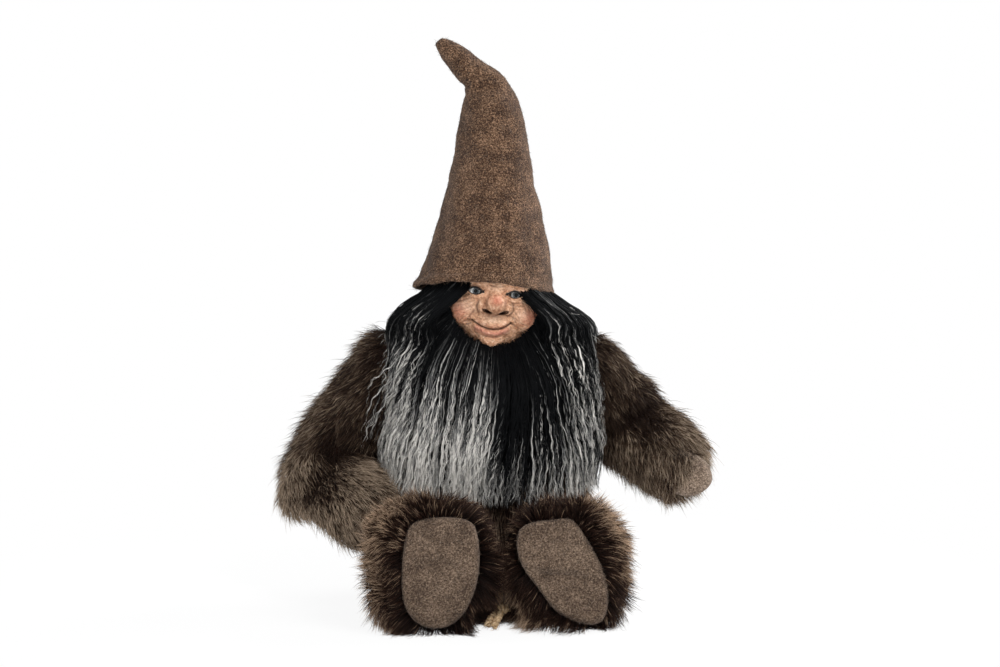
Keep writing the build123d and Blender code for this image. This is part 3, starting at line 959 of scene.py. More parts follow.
def beard_pale_and_shade(angle, layer, rng):
    """Silver on the right of the beard, a dark column left of its middle, and painted shade on the inner
    locks beneath.
    """
    d = np.degrees(angle)
    turns = [-90.0, 4.0, 12.0, 22.0, 32.0, 45.0, 56.0, 66.0, 82.0]
    tone = np.interp(d, turns, [0.63, 0.65, 0.4, 0.31, 0.37, 0.39, 0.51, 0.47, 0.34])
    # Inner layers are darkened as painted shade under the outer locks
    return tone - 1.5 * np.maximum(1.0 - layer, 0) + rng.normal(0, 0.1, len(angle))


def face_edge(turn):
    """Places along the face's lower edge, where the beard is rooted."""
    x = np.where(turn < 0, 46.5, 43.5) * np.sin(turn)
    z = 311.0 - 37.5 * np.cos(turn)
    y = -47.0 - 6.0 * np.cos(turn)
    return rolled(np.stack([x, y, z], 1))


def make_beard(form, material):
    rng = random_for("beard")
    locks = LOCKS["beard"]
    low = np.radians(rng.uniform(-82, 82, locks))
    roots = face_edge(low * rng.uniform(0.9, 1.2, locks)) + rng.normal(0, 1.2, (locks, 3))
    bottom = 108.0 + 12.0 * np.abs(low / 1.43) ** 3 + np.abs(rng.normal(0, 8, locks))
    layer = rng.choice([0.8, 0.88, 0.93, 0.97, 1.0, 1.03], locks)
    swept = low - np.radians(12.0) * ease(1.0, 0.3, low) * ease(-0.5, 0.1, low)
    angles = low * 0.75, low * 0.85, swept
    line = lock_lines(form, angles, (roots[:, 2], bottom), (layer * 0.9, layer), roots)
    return wool("beard", form, line, 6, beard_pale_and_shade(low, layer, rng), material, wave=0.75)


def make_side_hair(side, form, material):
    """Hair from under the brim that bows round the face and falls over the beard's side."""
    rng = random_for(f"hair {side}")
    facts = SIDE_HAIR[side]
    locks = LOCKS["side"]
    q = rng.random(locks) ** 1.2
    high = facts["start"] + (118.0 - facts["start"]) * q
    middle = high + facts["bow"] * (1 - q) ** 2
    low = middle + rng.uniform(14.0, 34.0, locks) * (1 - q) - 8.0 * q
    low = np.minimum(low, 97.0)
    top = np.full(locks, 346.0)
    bottom = 172.0 + 48.0 * q + rng.normal(0, 16, locks)
    layer = (0.8 + 0.2 * ease(34, 62, high)) * rng.choice([0.86, 0.93, 0.98, 1.0, 1.03], locks)
    final = np.maximum(layer, rng.uniform(0.94, 1.06, locks))
    grey = facts["grey"] + facts["streak"] * hump(q - 0.25, 0.2)
    pale = np.clip(grey + rng.normal(0, 0.13, locks), 0, 1)
    angles = [np.radians(SIDES[side] * a) for a in (high, middle, low)]
    root = layer * (0.84 + 0.14 * ease(66, 40, high))
    line = lock_lines(form, angles, (top, bottom), (root, final))
    return wool(f"hair_{side}", form, line, 6, pale, material)


def make_stray_hair(side, form, material):
    """Long wavy locks that stand off the sides."""
    rng = random_for(f"stray {side}")
    facts = SIDE_HAIR[side]
    locks = LOCKS["stray"]
    high = rng.uniform(40.0, 110.0, locks)
    low = np.clip(high + rng.uniform(0.0, 40.0, locks), 40.0, 96.0)
    bottom = rng.uniform(150.0, 235.0, locks)
    angles = [np.radians(SIDES[side] * a) for a in (high, high, low)]
    layer = rng.uniform(1.0, 1.04, locks)
    far = rng.uniform(1.0, facts["far"], locks)
    heights = np.full(locks, 345.0), bottom
    line = lock_lines(form, angles, heights, (layer * 0.8, layer * far), flare=(0.1, 0.95))
    pale = np.clip(rng.normal(facts["stray"], 0.13, locks), 0, 1)
    found = wool(f"hair_{side}_stray", form, line, 3, pale, material, wave=1.3, spread=1.6)
    return found + make_frizz(side, form, material, rng)


def make_frizz(side, form, material, rng):
    """Short curled fibres that stand off the hair."""
    count = FRIZZ
    angle = np.radians(SIDES[side] * rng.uniform(55.0, 125.0, count))
    z = rng.uniform(205.0, 318.0, count)
    place = form.point(angle, z, np.full(count, 0.97))
    steps = np.linspace(0, 1, 9)[None, :, None]
    way = unit(rng.normal(size=(count, 3)) * 0.6 + form.outward(place) * 0.35 + np.array([0, 0, -1.4]))
    curl = unit(np.cross(way, rng.normal(size=(count, 3))))
    bend = np.sin(steps * rng.uniform(5.0, 12.0, (count, 1, 1)) + rng.uniform(0, 6.28, (count, 1, 1)))
    long = rng.uniform(12.0, 30.0, (count, 1, 1))
    paths = place[:, None] + way[:, None] * steps * long
    paths = paths + curl[:, None] * bend * rng.uniform(0.5, 1.5, (count, 1, 1))
    radii = np.full((count, 9), FRIZZ_RADIUS)
    shade = np.clip(rng.normal(0.3, 0.14, count), 0, 1)
    return strand_pieces(f"hair_{side}_frizz", paths, radii, shade, material, WOOL_PER_PIECE)


def make_back_hair(form, material):
    rng = random_for("hair back")
    locks = LOCKS["back"]
    high = rng.uniform(112, 248, locks)
    low = 180 + (high - 180) * rng.uniform(0.85, 1.05, locks)
    wrap = np.where(high > 180, -360, 0)
    top = np.full(locks, 343.0)
    bottom = 214.0 + rng.normal(0, 8, locks)
    layer = rng.choice([0.88, 0.95, 1.0], locks)
    pale = np.clip(0.34 + rng.normal(0, 0.15, locks), 0, 1)
    angles = [np.radians(a + wrap) for a in (high, high, low)]
    line = lock_lines(form, angles, (top, bottom), (layer * 0.84, layer))
    return wool("hair_back", form, line, 5, pale, material)


# Face


def bulge(x, z, at, half, height):
    """A soft bump on the face."""
    return height * np.exp(-(((x - at[0]) / half[0]) ** 2) - ((z - at[1]) / half[1]) ** 2)


def ball_front(x, z, at, depth, radius):
    """How far forward a ball reaches."""
    inside = radius**2 - (x - at[0]) ** 2 - (z - at[1]) ** 2
    return np.where(inside > 0, depth + np.sqrt(np.maximum(inside, 0)), -1e3)


def joined(first, second, soft):
    """The further forward of two surfaces, rounded where they meet."""
    near = np.maximum(soft - np.abs(first - second), 0) / soft
    return np.maximum(first, second) + near * near * soft / 4


def line_distance(x, z, line):
    """Distance from each place to a smooth line."""
    points = rounded_line(line, 3)
    best = np.full(x.shape, 1e9)
    for a, b in zip(points[:-1], points[1:]):
        run = b - a
        t = np.clip(((x - a[0]) * run[0] + (z - a[1]) * run[1]) / (run @ run), 0, 1)
        best = np.minimum(best, np.hypot(x - a[0] - run[0] * t, z - a[1] - run[1] * t))
    return best


# Lines on the face as seen from the front, before the head's roll: the mouth, deep folds and fine wrinkles
MOUTH = [
    (-22.5, 298.6), (-17.0, 295.6), (-9.0, 292.2), (0.0, 291.0), (9.0, 293.0), (14.0, 296.0), (17.8, 299.4),
]
FOLDS = [
    [(-21.0, 309.0), (-25.0, 304.0), (-27.0, 299.0)],
    [(17.6, 307.0), (20.5, 304.5), (23.0, 300.5)],
    [(-21.5, 298.2), (-25.0, 297.4), (-28.5, 296.4)],
    [(-23.5, 295.4), (-27.5, 293.0)],
    [(17.4, 300.0), (19.5, 298.6), (22.0, 296.6)],
]
WRINKLES = [
    [(-28.0, 325.0), (-35.0, 322.5), (-43.0, 321.5)],
    [(-27.0, 321.5), (-34.0, 317.5), (-44.0, 315.5)],
    [(-24.0, 318.0), (-32.0, 313.5), (-43.0, 310.5)],
    [(-23.0, 314.0), (-31.0, 309.5), (-42.0, 305.5)],
    [(-25.0, 309.0), (-32.0, 305.5), (-40.0, 300.5)],
    [(-27.0, 304.0), (-32.0, 300.0), (-37.0, 295.0)],
    [(-22.5, 298.6), (-26.0, 298.2), (-30.5, 295.8)],
    [(-12.0, 322.5), (-19.0, 320.5), (-28.0, 322.0)],
    [(13.0, 322.0), (20.0, 319.5), (28.0, 321.5)],
    [(15.0, 319.0), (22.0, 316.5), (30.0, 318.0)],
    [(22.0, 305.0), (27.0, 300.0), (36.0, 297.5)],
    [(18.0, 299.4), (23.0, 296.0), (31.0, 293.5)],
    [(21.0, 311.0), (25.0, 306.0), (27.0, 302.0)],
    [(30.0, 326.0), (36.0, 323.0), (42.0, 323.0)],
    [(-20.0, 291.0), (-18.0, 286.0), (-13.0, 281.0)],
    [(-9.0, 283.5), (-1.0, 282.4), (8.0, 284.0)],
    [(-8.0, 337.0), (0.0, 335.5), (8.0, 337.5)],
    [(-6.0, 333.5), (0.5, 332.0), (7.0, 334.0)],
]


def eye_opening(x, z, middle):
    """Above zero inside the almond opening of an eye."""
    across = np.clip((x - middle) / 7.4, -1, 1)
    arch = 1 - across**2
    return np.minimum(EYE_Z + 3.2 * arch - z, z - (EYE_Z - 2.7 * arch)), arch


def face_shape(x, z):
    """How far forward the face reaches at each place, and the paint there, with painted shade and painted
    highlights among it.
    """
    rest = 1 - (x / HEAD_HALF[0]) ** 2 - ((z - HEAD_MIDDLE[2]) / HEAD_HALF[2]) ** 2
    h = -HEAD_MIDDLE[1] + HEAD_HALF[1] * np.sqrt(np.maximum(rest, 0.01))
    for side in (-1, 1):
        eye = EYE_X["left" if side > 0 else "right"]
        h = joined(h, ball_front(x, z, (side * 31.0, 307.0), 36.5, 18.0), 7.0)
        h = h - bulge(x, z, (eye, EYE_Z), (11.0, 7.0), 2.4)
        h = h + bulge(x, z, (eye, 340.0), (13.0, 4.0), 3.5)
        h = h + bulge(x, z, (eye, 322.5), (8.0, 2.2), 1.4)
    h = h + bulge(x, z, (-3.0, 299.0), (22.0, 9.0), 4.0)
    h = joined(h, ball_front(x, z, (-1.0, 281.5), 45.0, 13.5), 6.0)
    for step in range(5):
        share = step / 4
        place = (0.0, 336.0 - 16.0 * share)
        h = joined(h, ball_front(x, z, place, 55.0 + 9.0 * share, 7.0 + 2.5 * share), 4.0)
    h = joined(h, ball_front(x, z, (0.8, 318.8), 68.0, 10.8), 3.0)
    h = joined(h, ball_front(x, z, (0.2, 308.5), 60.5, 4.6), 4.0)
    for side in (-1, 1):
        h = joined(h, ball_front(x, z, (side * 12.0 + 0.2, 314.6), 60.0, 7.0), 1.5)

    mouth = line_distance(x, z, MOUTH)
    lip_line = line_distance(x, z, [(a, b - 4.6) for a, b in MOUTH[1:-1]])
    upper_line = line_distance(x, z, [(a, b + 3.2) for a, b in MOUTH[1:-1]])
    h = h + 3.6 * hump(lip_line, 3.2) + 1.5 * hump(upper_line, 2.4)
    h = h - 3.4 * hump(mouth, 1.0)
    h = h - bulge(x, z, (-2.0, 284.0), (11.0, 2.0), 1.6)
    # crease is painted shade: in the mouth's line, the folds, the wrinkles, the nostrils and round the lids
    crease = 0.95 * hump(mouth, 0.8)
    for fold in FOLDS:
        d = line_distance(x, z, fold)
        h = h - 1.4 * hump(d, 1.5)
        crease = np.maximum(crease, 0.5 * hump(d, 1.0))
    rng = random_for("fine wrinkles")
    for wrinkle in WRINKLES:
        d = line_distance(x, z, wrinkle)
        deep = rng.uniform(0.35, 1.0)
        h = h - deep * hump(d, 0.8) + 0.45 * deep * hump(d - 1.9, 0.9)
        crease = np.maximum(crease, 0.42 * deep * hump(d, 0.7))
    for _ in range(9):
        way = rng.normal(0, 1.0, 2)
        bent = 2.0 * np.sin(0.25 * x - 0.31 * z)
        h = h + 0.12 * np.sin(x * way[0] + z * way[1] + rng.uniform(0, 6.28) + bent)
    for side in (-1, 1):
        nostril = np.hypot((x - side * 8.6 - 0.8) / 5.0, (z - 307.4 - 0.28 * np.abs(x - 0.8)) / 1.9)
        h = h - 6.0 * ease(1.25, 0.5, nostril)
        crease = np.maximum(crease, ease(1.35, 0.7, nostril))
        d = line_distance(x, z, [(side * 17.5, 320.0), (side * 19.4, 313.5), (side * 16.5, 307.5)])
        h = h - 1.5 * hump(d, 1.3)
        crease = np.maximum(crease, 0.6 * hump(d, 1.1))

    line = np.zeros_like(h)
    for eye in EYE_X.values():
        inside, arch = eye_opening(x, z, eye)
        close = np.abs(x - eye) < 9.5
        lid = hump(inside + 1.3, 1.3) * close
        h = h + np.where(z > EYE_Z, 2.6, 1.8) * lid
        h = np.where(close & (inside > 0), np.minimum(h, EYE_DEPTH + 2.0), h)
        upper = (z > EYE_Z) & close
        drawn = np.where(upper, ease(-2.9, -1.7, inside), ease(-1.0, -0.4, inside))
        line = np.maximum(line, drawn * close)
        lower = (z <= EYE_Z) & close
        crease = np.maximum(crease, np.where(lower, 0.85 * hump(inside + 0.2, 0.6), 0))
        crease = np.maximum(crease, np.where(upper, 0.5 * hump(inside + 3.4, 0.7) * arch, 0))

    blush = bulge(x, z, (0.8, 323.0), (6.5, 5.0), 0.65)
    # Painted shade: under and on the nose, beside it, under the lower lip and at the face's edge by the hair
    painted_shade = most(
        bulge(x, z, (0.4, 306.5), (13.0, 3.6), 0.75),
        bulge(x, z, (0.8, 315.0), (11.0, 8.0), 0.42),
        bulge(x, z, (-2.0, 284.0), (10.0, 1.8), 0.6),
        ease(41.0, 47.0, np.hypot(x, (z - FACE_MIDDLE_Z) * 1.05)) * 0.6,
    )
    for side in (-1, 1):
        blush = np.maximum(blush, bulge(x, z, (side * 38.0, 307.0), (9.0, 10.0), 0.6))
        painted_shade = np.maximum(painted_shade, bulge(x, z, (side * 9.6 + 0.6, 319.0), (2.2, 6.0), 0.6))
    lips = hump(lip_line, 3.4) * 0.65 + hump(upper_line, 1.6) * 0.2
    # Painted highlights on the upper lip, the cheeks and the brow
    pale = most(
        bulge(x, z, (0.0, 302.0), (12.0, 4.5), 0.35),
        bulge(x, z, (-30.0, 313.0), (11.0, 8.0), 0.4),
        bulge(x, z, (28.0, 309.0), (7.0, 6.0), 0.4),
        bulge(x, z, (0.0, 335.0), (14.0, 3.0), 0.25),
    )
    paint = {"blush": blush, "lips": lips, "crease": crease, "line": line, "pale": pale, "painted_shade": painted_shade}
    return h, paint


def rolled(points):
    """Face places, turned with the head's roll."""
    x, y, z = points[:, 0], points[:, 1], points[:, 2] - FACE_PIVOT[1]
    c, s = math.cos(FACE_ROLL), math.sin(FACE_ROLL)
    return np.stack([FACE_PIVOT[0] + x * c + z * s, y, FACE_PIVOT[1] - x * s + z * c], 1)


def make_face(material):
    """The moulded face, as a sheet over a round window, with a thickness behind it."""
    u, v = np.meshgrid(np.linspace(-1, 1, FACE_GRID), np.linspace(-1, 1, FACE_GRID), indexing="ij")
    x = FACE_HALF[0] * u * np.sqrt(1 - v * v / 2)
    z = FACE_MIDDLE_Z + FACE_HALF[1] * v * np.sqrt(1 - u * u / 2)
    h, paint = face_shape(x, z)
    points = rolled(np.stack([x.ravel(), -h.ravel(), z.ravel()], 1))
    i, j = np.meshgrid(np.arange(FACE_GRID - 1), np.arange(FACE_GRID - 1), indexing="ij")
    a = i * FACE_GRID + j
    quads = np.stack([a, a + FACE_GRID, a + FACE_GRID + 1, a + 1], -1).reshape(-1, 4)
    mesh = build_mesh("face", points, quads)
    for name, values in paint.items():
        add_value(mesh, name, np.clip(values, 0, 1).ravel())
    face = add_object("face", mesh, material)
    solid = face.modifiers.new("Solidify", "SOLIDIFY")
    solid.thickness = FACE_THICKNESS * MM
    solid.offset = -1.0
    return face


def make_eye(side, material):
    """An eyeball whose pole looks ahead."""
    gaze = unit(np.array([EYE_GAZE[side], -1.0, 0.0]))
    rings, segments = 40, 48
    across = unit(np.cross(gaze, (0, 0, 1)))
    up = np.cross(across, gaze)
    polar = np.linspace(0, math.pi, rings + 1)[1:-1]
    turn = np.arange(segments) * 2 * math.pi / segments
    cornea = 1 + 0.05 * hump(polar, 0.42)
    ring = np.sin(polar)[:, None, None] * (np.cos(turn)[:, None] * across + np.sin(turn)[:, None] * up)
    ball = (ring + np.cos(polar)[:, None, None] * gaze) * cornea[:, None, None]
    points = np.concatenate([ball.reshape(-1, 3), [gaze * 1.05, -gaze]]) * EYE_RADIUS
    middle = rolled(np.array([[EYE_X[side], -EYE_DEPTH, EYE_Z]]))
    angle = np.concatenate([np.repeat(polar, segments), [0, math.pi]])
    first, last = len(points) - 2, len(points) - 1
    quads, opening, closing = ring_faces(len(polar), segments, first, last, turned=True)
    mesh = build_mesh(f"{side}_eyeball", points + middle, quads, np.concatenate([opening, closing]))
    add_value(mesh, "angle", angle)
    return add_object(f"{side}_eyeball", mesh, material)


# Felt pieces


def lumpy(obj, size, height, seed):
    """Moves an object's points a little in and out, in soft waves of about the given size."""
    points, normals, _ = shape_of(obj)
    rng = random_for(seed)
    wave = np.zeros(len(points))
    for _ in range(6):
        way = rng.normal(0, 2 * math.pi / size, 3)
        wave += np.sin(points @ way + rng.uniform(0, 6.28))
    move_points(obj, points + normals * (wave * height / 2.5)[:, None])


def brim_height(points):
    """How far points lie above the plane of the hat's brim."""
    place, lean_x, lean_y = HAT_BRIM
    slope_x, slope_y = math.tan(math.radians(lean_y)), math.tan(math.radians(lean_x))
    return points[:, 2] - place[2] + slope_x * (points[:, 0] - place[0]) - slope_y * (points[:, 1] - place[1])


def make_hat(material):
    """The hat with its flopped tip, as one felt cone with a turned hem and a crease at the fold."""
    nodes = [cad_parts[n] for n in ("hat_cone", "hat_stuffing", "hat_tip")]
    points, triangles = [], []
    start = 0
    for node in nodes:
        p, _, t = shape_of(node)
        points.append(p)
        triangles.append(t + start)
        start += len(p)
    mesh = build_mesh("hat", np.concatenate(points), [], np.concatenate(triangles))
    hat = add_object("hat", mesh, material)
    add_remesh(hat, HAT_VOXEL, 5)
    settle(hat)

    points, normals, _ = shape_of(hat)
    above = brim_height(points)
    hem = 0.9 * hump(above - 4.0, 4.0) - 1.0 * hump(above - 11.5, 3.0)
    outside = np.hypot(points[:, 0], points[:, 1]) > 52.0
    points = points + normals * np.where(outside, hem, 0)[:, None]
    near_brim = ease(26.0, 0.0, above)
    raised, lowered = ease(-15.0, -70.0, points[:, 1]), ease(8.0, 70.0, points[:, 0])
    points[:, 2] += near_brim * (2.2 * raised - 2.0 - 3.5 * lowered)
    left, right = ease(0.0, 45.0, points[:, 0]), ease(0.0, -45.0, points[:, 0])
    points[:, 0] -= 4.0 * left * ease(520.0, 430.0, points[:, 2])
    waist = 3.0 * hump(points[:, 2] - 412.0, 26.0)
    points[:, 0] += right * (waist - 5.0 * ease(358.0, 332.0, points[:, 2]))
    along = np.maximum((points - HAT_FOLD) @ HAT_TIP_WAY, 0)
    fuller = normals * (1.8 * ease(10, 60, along))[:, None]
    points = points + along[:, None] * np.array([-0.05, 0.0, 0.01]) + fuller
    below = np.hypot(points[:, 0] + 22.0, points[:, 2] - 532.0)
    points[:, 0] -= 3.4 * hump(below, 10.0)
    notch = np.hypot(points[:, 0] - HAT_NOTCH[0], points[:, 2] - HAT_NOTCH[1])
    points[:, 0] += 6.0 * hump(notch, 4.2)
    move_points(hat, points)
    lumpy(hat, 75.0, 0.9, "hat")
    lumpy(hat, 22.0, 0.2, "hat fine")
    return hat


def make_sole(side, material):
    """A felt sole, crowned, with its edge turned in to a seam."""
    sole = SOLES[side]
    edge = closed_outline(sole["outline"], 120)
    profile = [(1.0, 7.0), (1.005, 4.0), (0.99, 1.6), (0.965, 0.2), (0.93, -0.9)]
    profile += [(r, -1.2 - 2.6 * (1 - r) ** 0.8) for r in np.linspace(0.88, 0.04, 26)]
    rings = []
    rng = random_for(f"{side} sole")
    waves = rng.normal(0, 0.09, (2, 5)), rng.uniform(0, 6.28, 5)
    for share, back in profile:
        flat = edge * share
        lump = np.sin(flat @ waves[0] + waves[1]).sum(1) * 0.45 * (1 - share**4)
        bend = flat[:, 1] + 0.1 * flat[:, 0]
        crease = 2.6 * hump(bend + 5.0, 3.6) - 1.6 * hump(bend - 4.0, 4.0)
        crease = sole["crease"] * crease * ease(-50.0, -20.0, -flat[:, 0]) * (1 - share**6)
        crease = crease + 2.2 * hump(np.hypot(flat[:, 0] - 6.0, flat[:, 1] + 3.0), 15.0)
        rings.append(np.stack([flat[:, 0], back + lump + crease, flat[:, 1]], 1))
    middle = np.array([[0.0, rings[-1][:, 1].mean(), 0.0]])
    place = np.array([sole["middle"][0], sole["front"], sole["middle"][1]])
    points = np.concatenate(rings + [middle, [[0.0, profile[0][1], 0.0]]]) + place
    first, last = len(points) - 1, len(points) - 2
    quads, opening, closing = ring_faces(len(profile), len(edge), first, last, turned=True)
    mesh = build_mesh(f"{side}_felt_sole", points, quads, np.concatenate([closing, opening]))
    return add_object(f"{side}_felt_sole", mesh, material)


def drawn_back(side, points):
    """A hand's points, a little nearer to the wrist and tucked up under the fur."""
    wrist = np.array(ARM_LINE[side][2])
    _, way, _ = arm_ways(side)
    along = np.maximum((points - wrist) @ way, 0)
    points = points - way * (along * 0.16)[:, None]
    low = np.maximum(wrist[2] - 6.0 - points[:, 2], 0)
    points[:, 2] += 0.25 * low
    return points + np.array(HAND_SHIFT[side])


def make_hand(side, material):
    """A stuffed felt mitten with a seam round its edge."""
    hand = swollen_copy(f"{side}_hand_felt", f"{side}_mitten", HAND_VOXEL, 0.6, material)
    points, normals, _ = shape_of(hand)
    wrist = np.array(ARM_LINE[side][2])
    _, way, _ = arm_ways(side)
    level = unit(np.cross((0, 0, 1), way))
    angle = math.radians(HAND_SEAM_TURN[side])
    across = level * math.cos(angle) + np.cross(way, level) * math.sin(angle)
    thin = np.cross(way, across)
    off = (points - wrist) @ thin + 5.0
    seam = hump(off, 0.9)
    beside = hump(np.abs(off) - 2.6, 1.2)
    move_points(hand, drawn_back(side, points + normals * (beside * 0.5 - seam * 1.5)[:, None]))
    lumpy(hand, 40.0, 0.6, f"{side} mitten")
    return hand


# Rope


def rope_line():
    """Points of the rope's smooth line, read from a spline on the route's points."""
    data = bpy.data.curves.new("rope_line", "CURVE")
    data.dimensions = "3D"
    data.resolution_u = 24
    spline = data.splines.new("NURBS")
    spline.points.add(len(ROPE_ROUTE) - 1)
    for point, place in zip(spline.points, ROPE_ROUTE):
        point.co = (*(c * MM for c in place), 1.0)
    spline.order_u = 3
    spline.use_endpoint_u = True
    carrier = bpy.data.objects.new("rope_line", data)
    mesh = bpy.data.meshes.new_from_object(carrier)
    line = np.array([v.co for v in mesh.vertices]) / MM
    bpy.data.objects.remove(carrier)
    return line


def tube(line, radius, segments):
    """Points and faces of a closed round tube along a line."""
    side, other = line_frame(line, (0.31, 0.52, 0.79))
    angles = np.arange(segments) * 2 * math.pi / segments
    spread = np.cos(angles)[:, None] * side[:, None] + np.sin(angles)[:, None] * other[:, None]
    rings = line[:, None] + radius * spread
    points = np.concatenate([rings.reshape(-1, 3), line[:1], line[-1:]])
    quads, opening, closing = ring_faces(len(line), segments, len(points) - 2, len(points) - 1)
    return points, quads, np.concatenate([opening, closing])


def plies(line, radius, turns, count=2, segments=14):
    """Twisted plies along a line, with a map round and along each."""
    side, other = line_frame(line, (0.2, 0.3, 0.9))
    share = np.linspace(0, 1, len(line))
    around = np.tile(np.arange(segments) / segments, len(line))
    along = np.repeat(share, segments)
    uv = np.concatenate([np.stack([around, along], 1), [[0.5, 0.0], [0.5, 1.0]]])
    points, quads, triangles = [], [], []
    for i in range(count):
        angle = (2 * math.pi * (turns * share + i / count))[:, None]
        middle = line + (np.cos(angle) * side + np.sin(angle) * other) * radius * 0.5
        p, q, t = tube(middle, radius * 0.52, segments)
        points.append(p)
        quads.append(q + i * len(p))
        triangles.append(t + i * len(p))
    shape = (np.concatenate(parts) for parts in (points, quads, triangles))
    return *shape, np.tile(uv, (count, 1))


def rope_object(name, line, radius, turns, material):
    points, quads, triangles, uv = plies(line, radius, turns)
    return add_object(name, build_mesh(name, points, quads, triangles, {"ply": uv}), material)


def make_rope(material, fibre):
    """The rope, its overhand knot and its frayed ends."""
    line = rope_line()
    rope = rope_object("rope", line, ROPE / 2, 4.5, material)
    start = line[-1]
    way = unit(line[-1] - line[-2])
    side = unit(np.cross(way, (0, 0, 1)))
    up = np.cross(side, way)

    t = np.linspace(0, 1, 90)
    angle = 2 * math.pi * (0.1 + 1.35 * t)
    wrap = start + way * (2.0 + 17.0 * t)[:, None]
    wrap = wrap + side * (6.4 * np.cos(angle))[:, None] + up * (5.6 * np.sin(angle))[:, None]
    knot = rope_object("rope_knot", wrap, KNOT_RADIUS, 7.0, material)

    root = start + way * 14.0
    ends = []
    for i, tip in enumerate(END_TIPS):
        tip = np.array(tip)
        middle = (root + tip) / 2 + np.array([(i - 0.5) * 5.0, 0, 3.0])
        end = spaced(rounded_line([root, middle, tip], 4), 40)
        ends.append(rope_object(f"rope_end_{i + 1}", end, END_RADIUS, 3.0, material))
        rng = random_for(f"fray {i}")
        spread = rng.normal(0, 1.6, (FRAY, 3))
        steps = np.linspace(0, 1, 6)[None, :, None]
        flare = rng.normal(0, 1.0, (FRAY, 3)) * np.array([3.0, 2.5, 1.6])
        forward = unit(tip - middle) * rng.uniform(3.0, 8.0, (FRAY, 1))
        paths = (tip - unit(tip - middle) * 6.0 + spread)[:, None] + forward[:, None] * steps
        paths = paths + flare[:, None] * steps**2
        paths[:, :, 2] = np.maximum(paths[:, :, 2], FLOOR + 0.3)
        radii = np.full((FRAY, 6), FRAY_RADIUS) * np.linspace(1, 0.4, 6)
        ends += strand_pieces(f"rope_fray_{i + 1}", paths, radii, rng.random(FRAY), fibre, FUR_PER_PIECE)
    return rope, knot, ends, line


# Stage, camera and light


def make_camera():
    tilt = math.radians(CAMERA_ELEVATION)
    target = Vector(CAMERA_TARGET) * MM
    data = bpy.data.cameras.new("camera")
    data.lens = CAMERA_LENS
    data.sensor_width = 36.0
    camera = bpy.data.objects.new("camera", data)
    bpy.context.scene.collection.objects.link(camera)
    camera.location = target + Vector((0, -math.cos(tilt), math.sin(tilt))) * CAMERA_DISTANCE * MM
    camera.rotation_euler = (math.pi / 2 - tilt, 0, 0)
    bpy.context.scene.camera = camera


def make_floor():
    """A wide pale floor. It looks all but plain white, with a trace of the figure's shadow near it."""
    half = 6000.0
    points = np.array([(-half, -half, 0), (half, -half, 0), (half, half, 0), (-half, half, 0)], float)
    s = Shader("floor", 0.9)
    grain = s.noise(s.place(), 3.0)
    material = s.colour(s.mix(grain, (0.93, 0.93, 0.925), (0.95, 0.95, 0.945)))
    away = add_node(s.tree, "VectorMath", {0: s.place()}, operation="LENGTH").outputs["Value"]
    far = s.math("MULTIPLY", s.span(away, 0.3, 0.62, 0.9, 1.0), seen_ray(s.tree))
    white = add_node(s.tree, "Emission").outputs["Emission"]
    mix = add_node(s.tree, "MixShader", {"Fac": far, 1: s.surface.outputs["BSDF"], 2: white})
    s.tree.links.new(mix.outputs["Shader"], s.tree.nodes["Material Output"].inputs["Surface"])
    floor = add_object("floor", build_mesh("floor", points, [(0, 1, 2, 3)]), material)


def seen_ray(tree):
    """One for what the camera, a mirror or glass sees, and nought for light on the figure."""
    path = add_node(tree, "LightPath").outputs
    seen = path["Is Camera Ray"]
    for other in ("Is Glossy Ray", "Is Transmission Ray"):
        seen = add_node(tree, "Math", {0: seen, 1: path[other]}, operation="MAXIMUM").outputs["Value"]
    return seen


def add_light(name, place, aim, size, power):
    data = bpy.data.lights.new(name, "AREA")
    data.size = size
    data.energy = power
    light = bpy.data.objects.new(name, data)
    bpy.context.scene.collection.objects.link(light)
    light.location = place
    light.rotation_euler = (Vector(aim) - Vector(place)).to_track_quat("-Z", "Y").to_euler()


def make_light():
    """A large soft key from the front and above, a fill and a rim, in a white room."""
    add_light("key", (1.35, -1.95, 2.0), (0, -0.05, 0.28), 1.3, 66.0)
    add_light("fill", (-1.7, -1.7, 1.0), (0, 0, 0.28), 1.8, 25.0)
    add_light("rim", (1.7, 0.9, 1.5), (0, 0, 0.35), 1.2, 52.0)
    world = bpy.data.worlds.new("room")
    bpy.context.scene.world = world
    world.use_nodes = True
    tree = world.node_tree
    room = tree.nodes["Background"]
    room.inputs["Color"].default_value = (0.95, 0.97, 1.0, 1.0)
    room.inputs["Strength"].default_value = 0.5
    seen = add_node(tree, "Background", {"Color": (1.0, 1.0, 1.0, 1.0)}).outputs["Background"]
    mix = add_node(tree, "MixShader", {"Fac": seen_ray(tree), 1: room.outputs["Background"], 2: seen})
    tree.links.new(mix.outputs["Shader"], tree.nodes["World Output"].inputs["Surface"])
    bpy.context.scene.view_settings.view_transform = "Standard"


# Putting it together


def dress(pieces, body, node):
    """Pieces ride on a body and stand for a CAD node, which is hidden."""
    for piece in pieces:
        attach(piece, body)
        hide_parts(node)


def drape(pieces, node):
    """Wool pieces have their placing baked into their points and stand for a CAD node, which is hidden."""
    for piece in pieces:
        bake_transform(piece)
        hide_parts(node)


def cover(piece, body, node):
    """A piece of fabric or felt that rides on a body and stands for a CAD node."""
    dress([piece], body, node)
    return piece


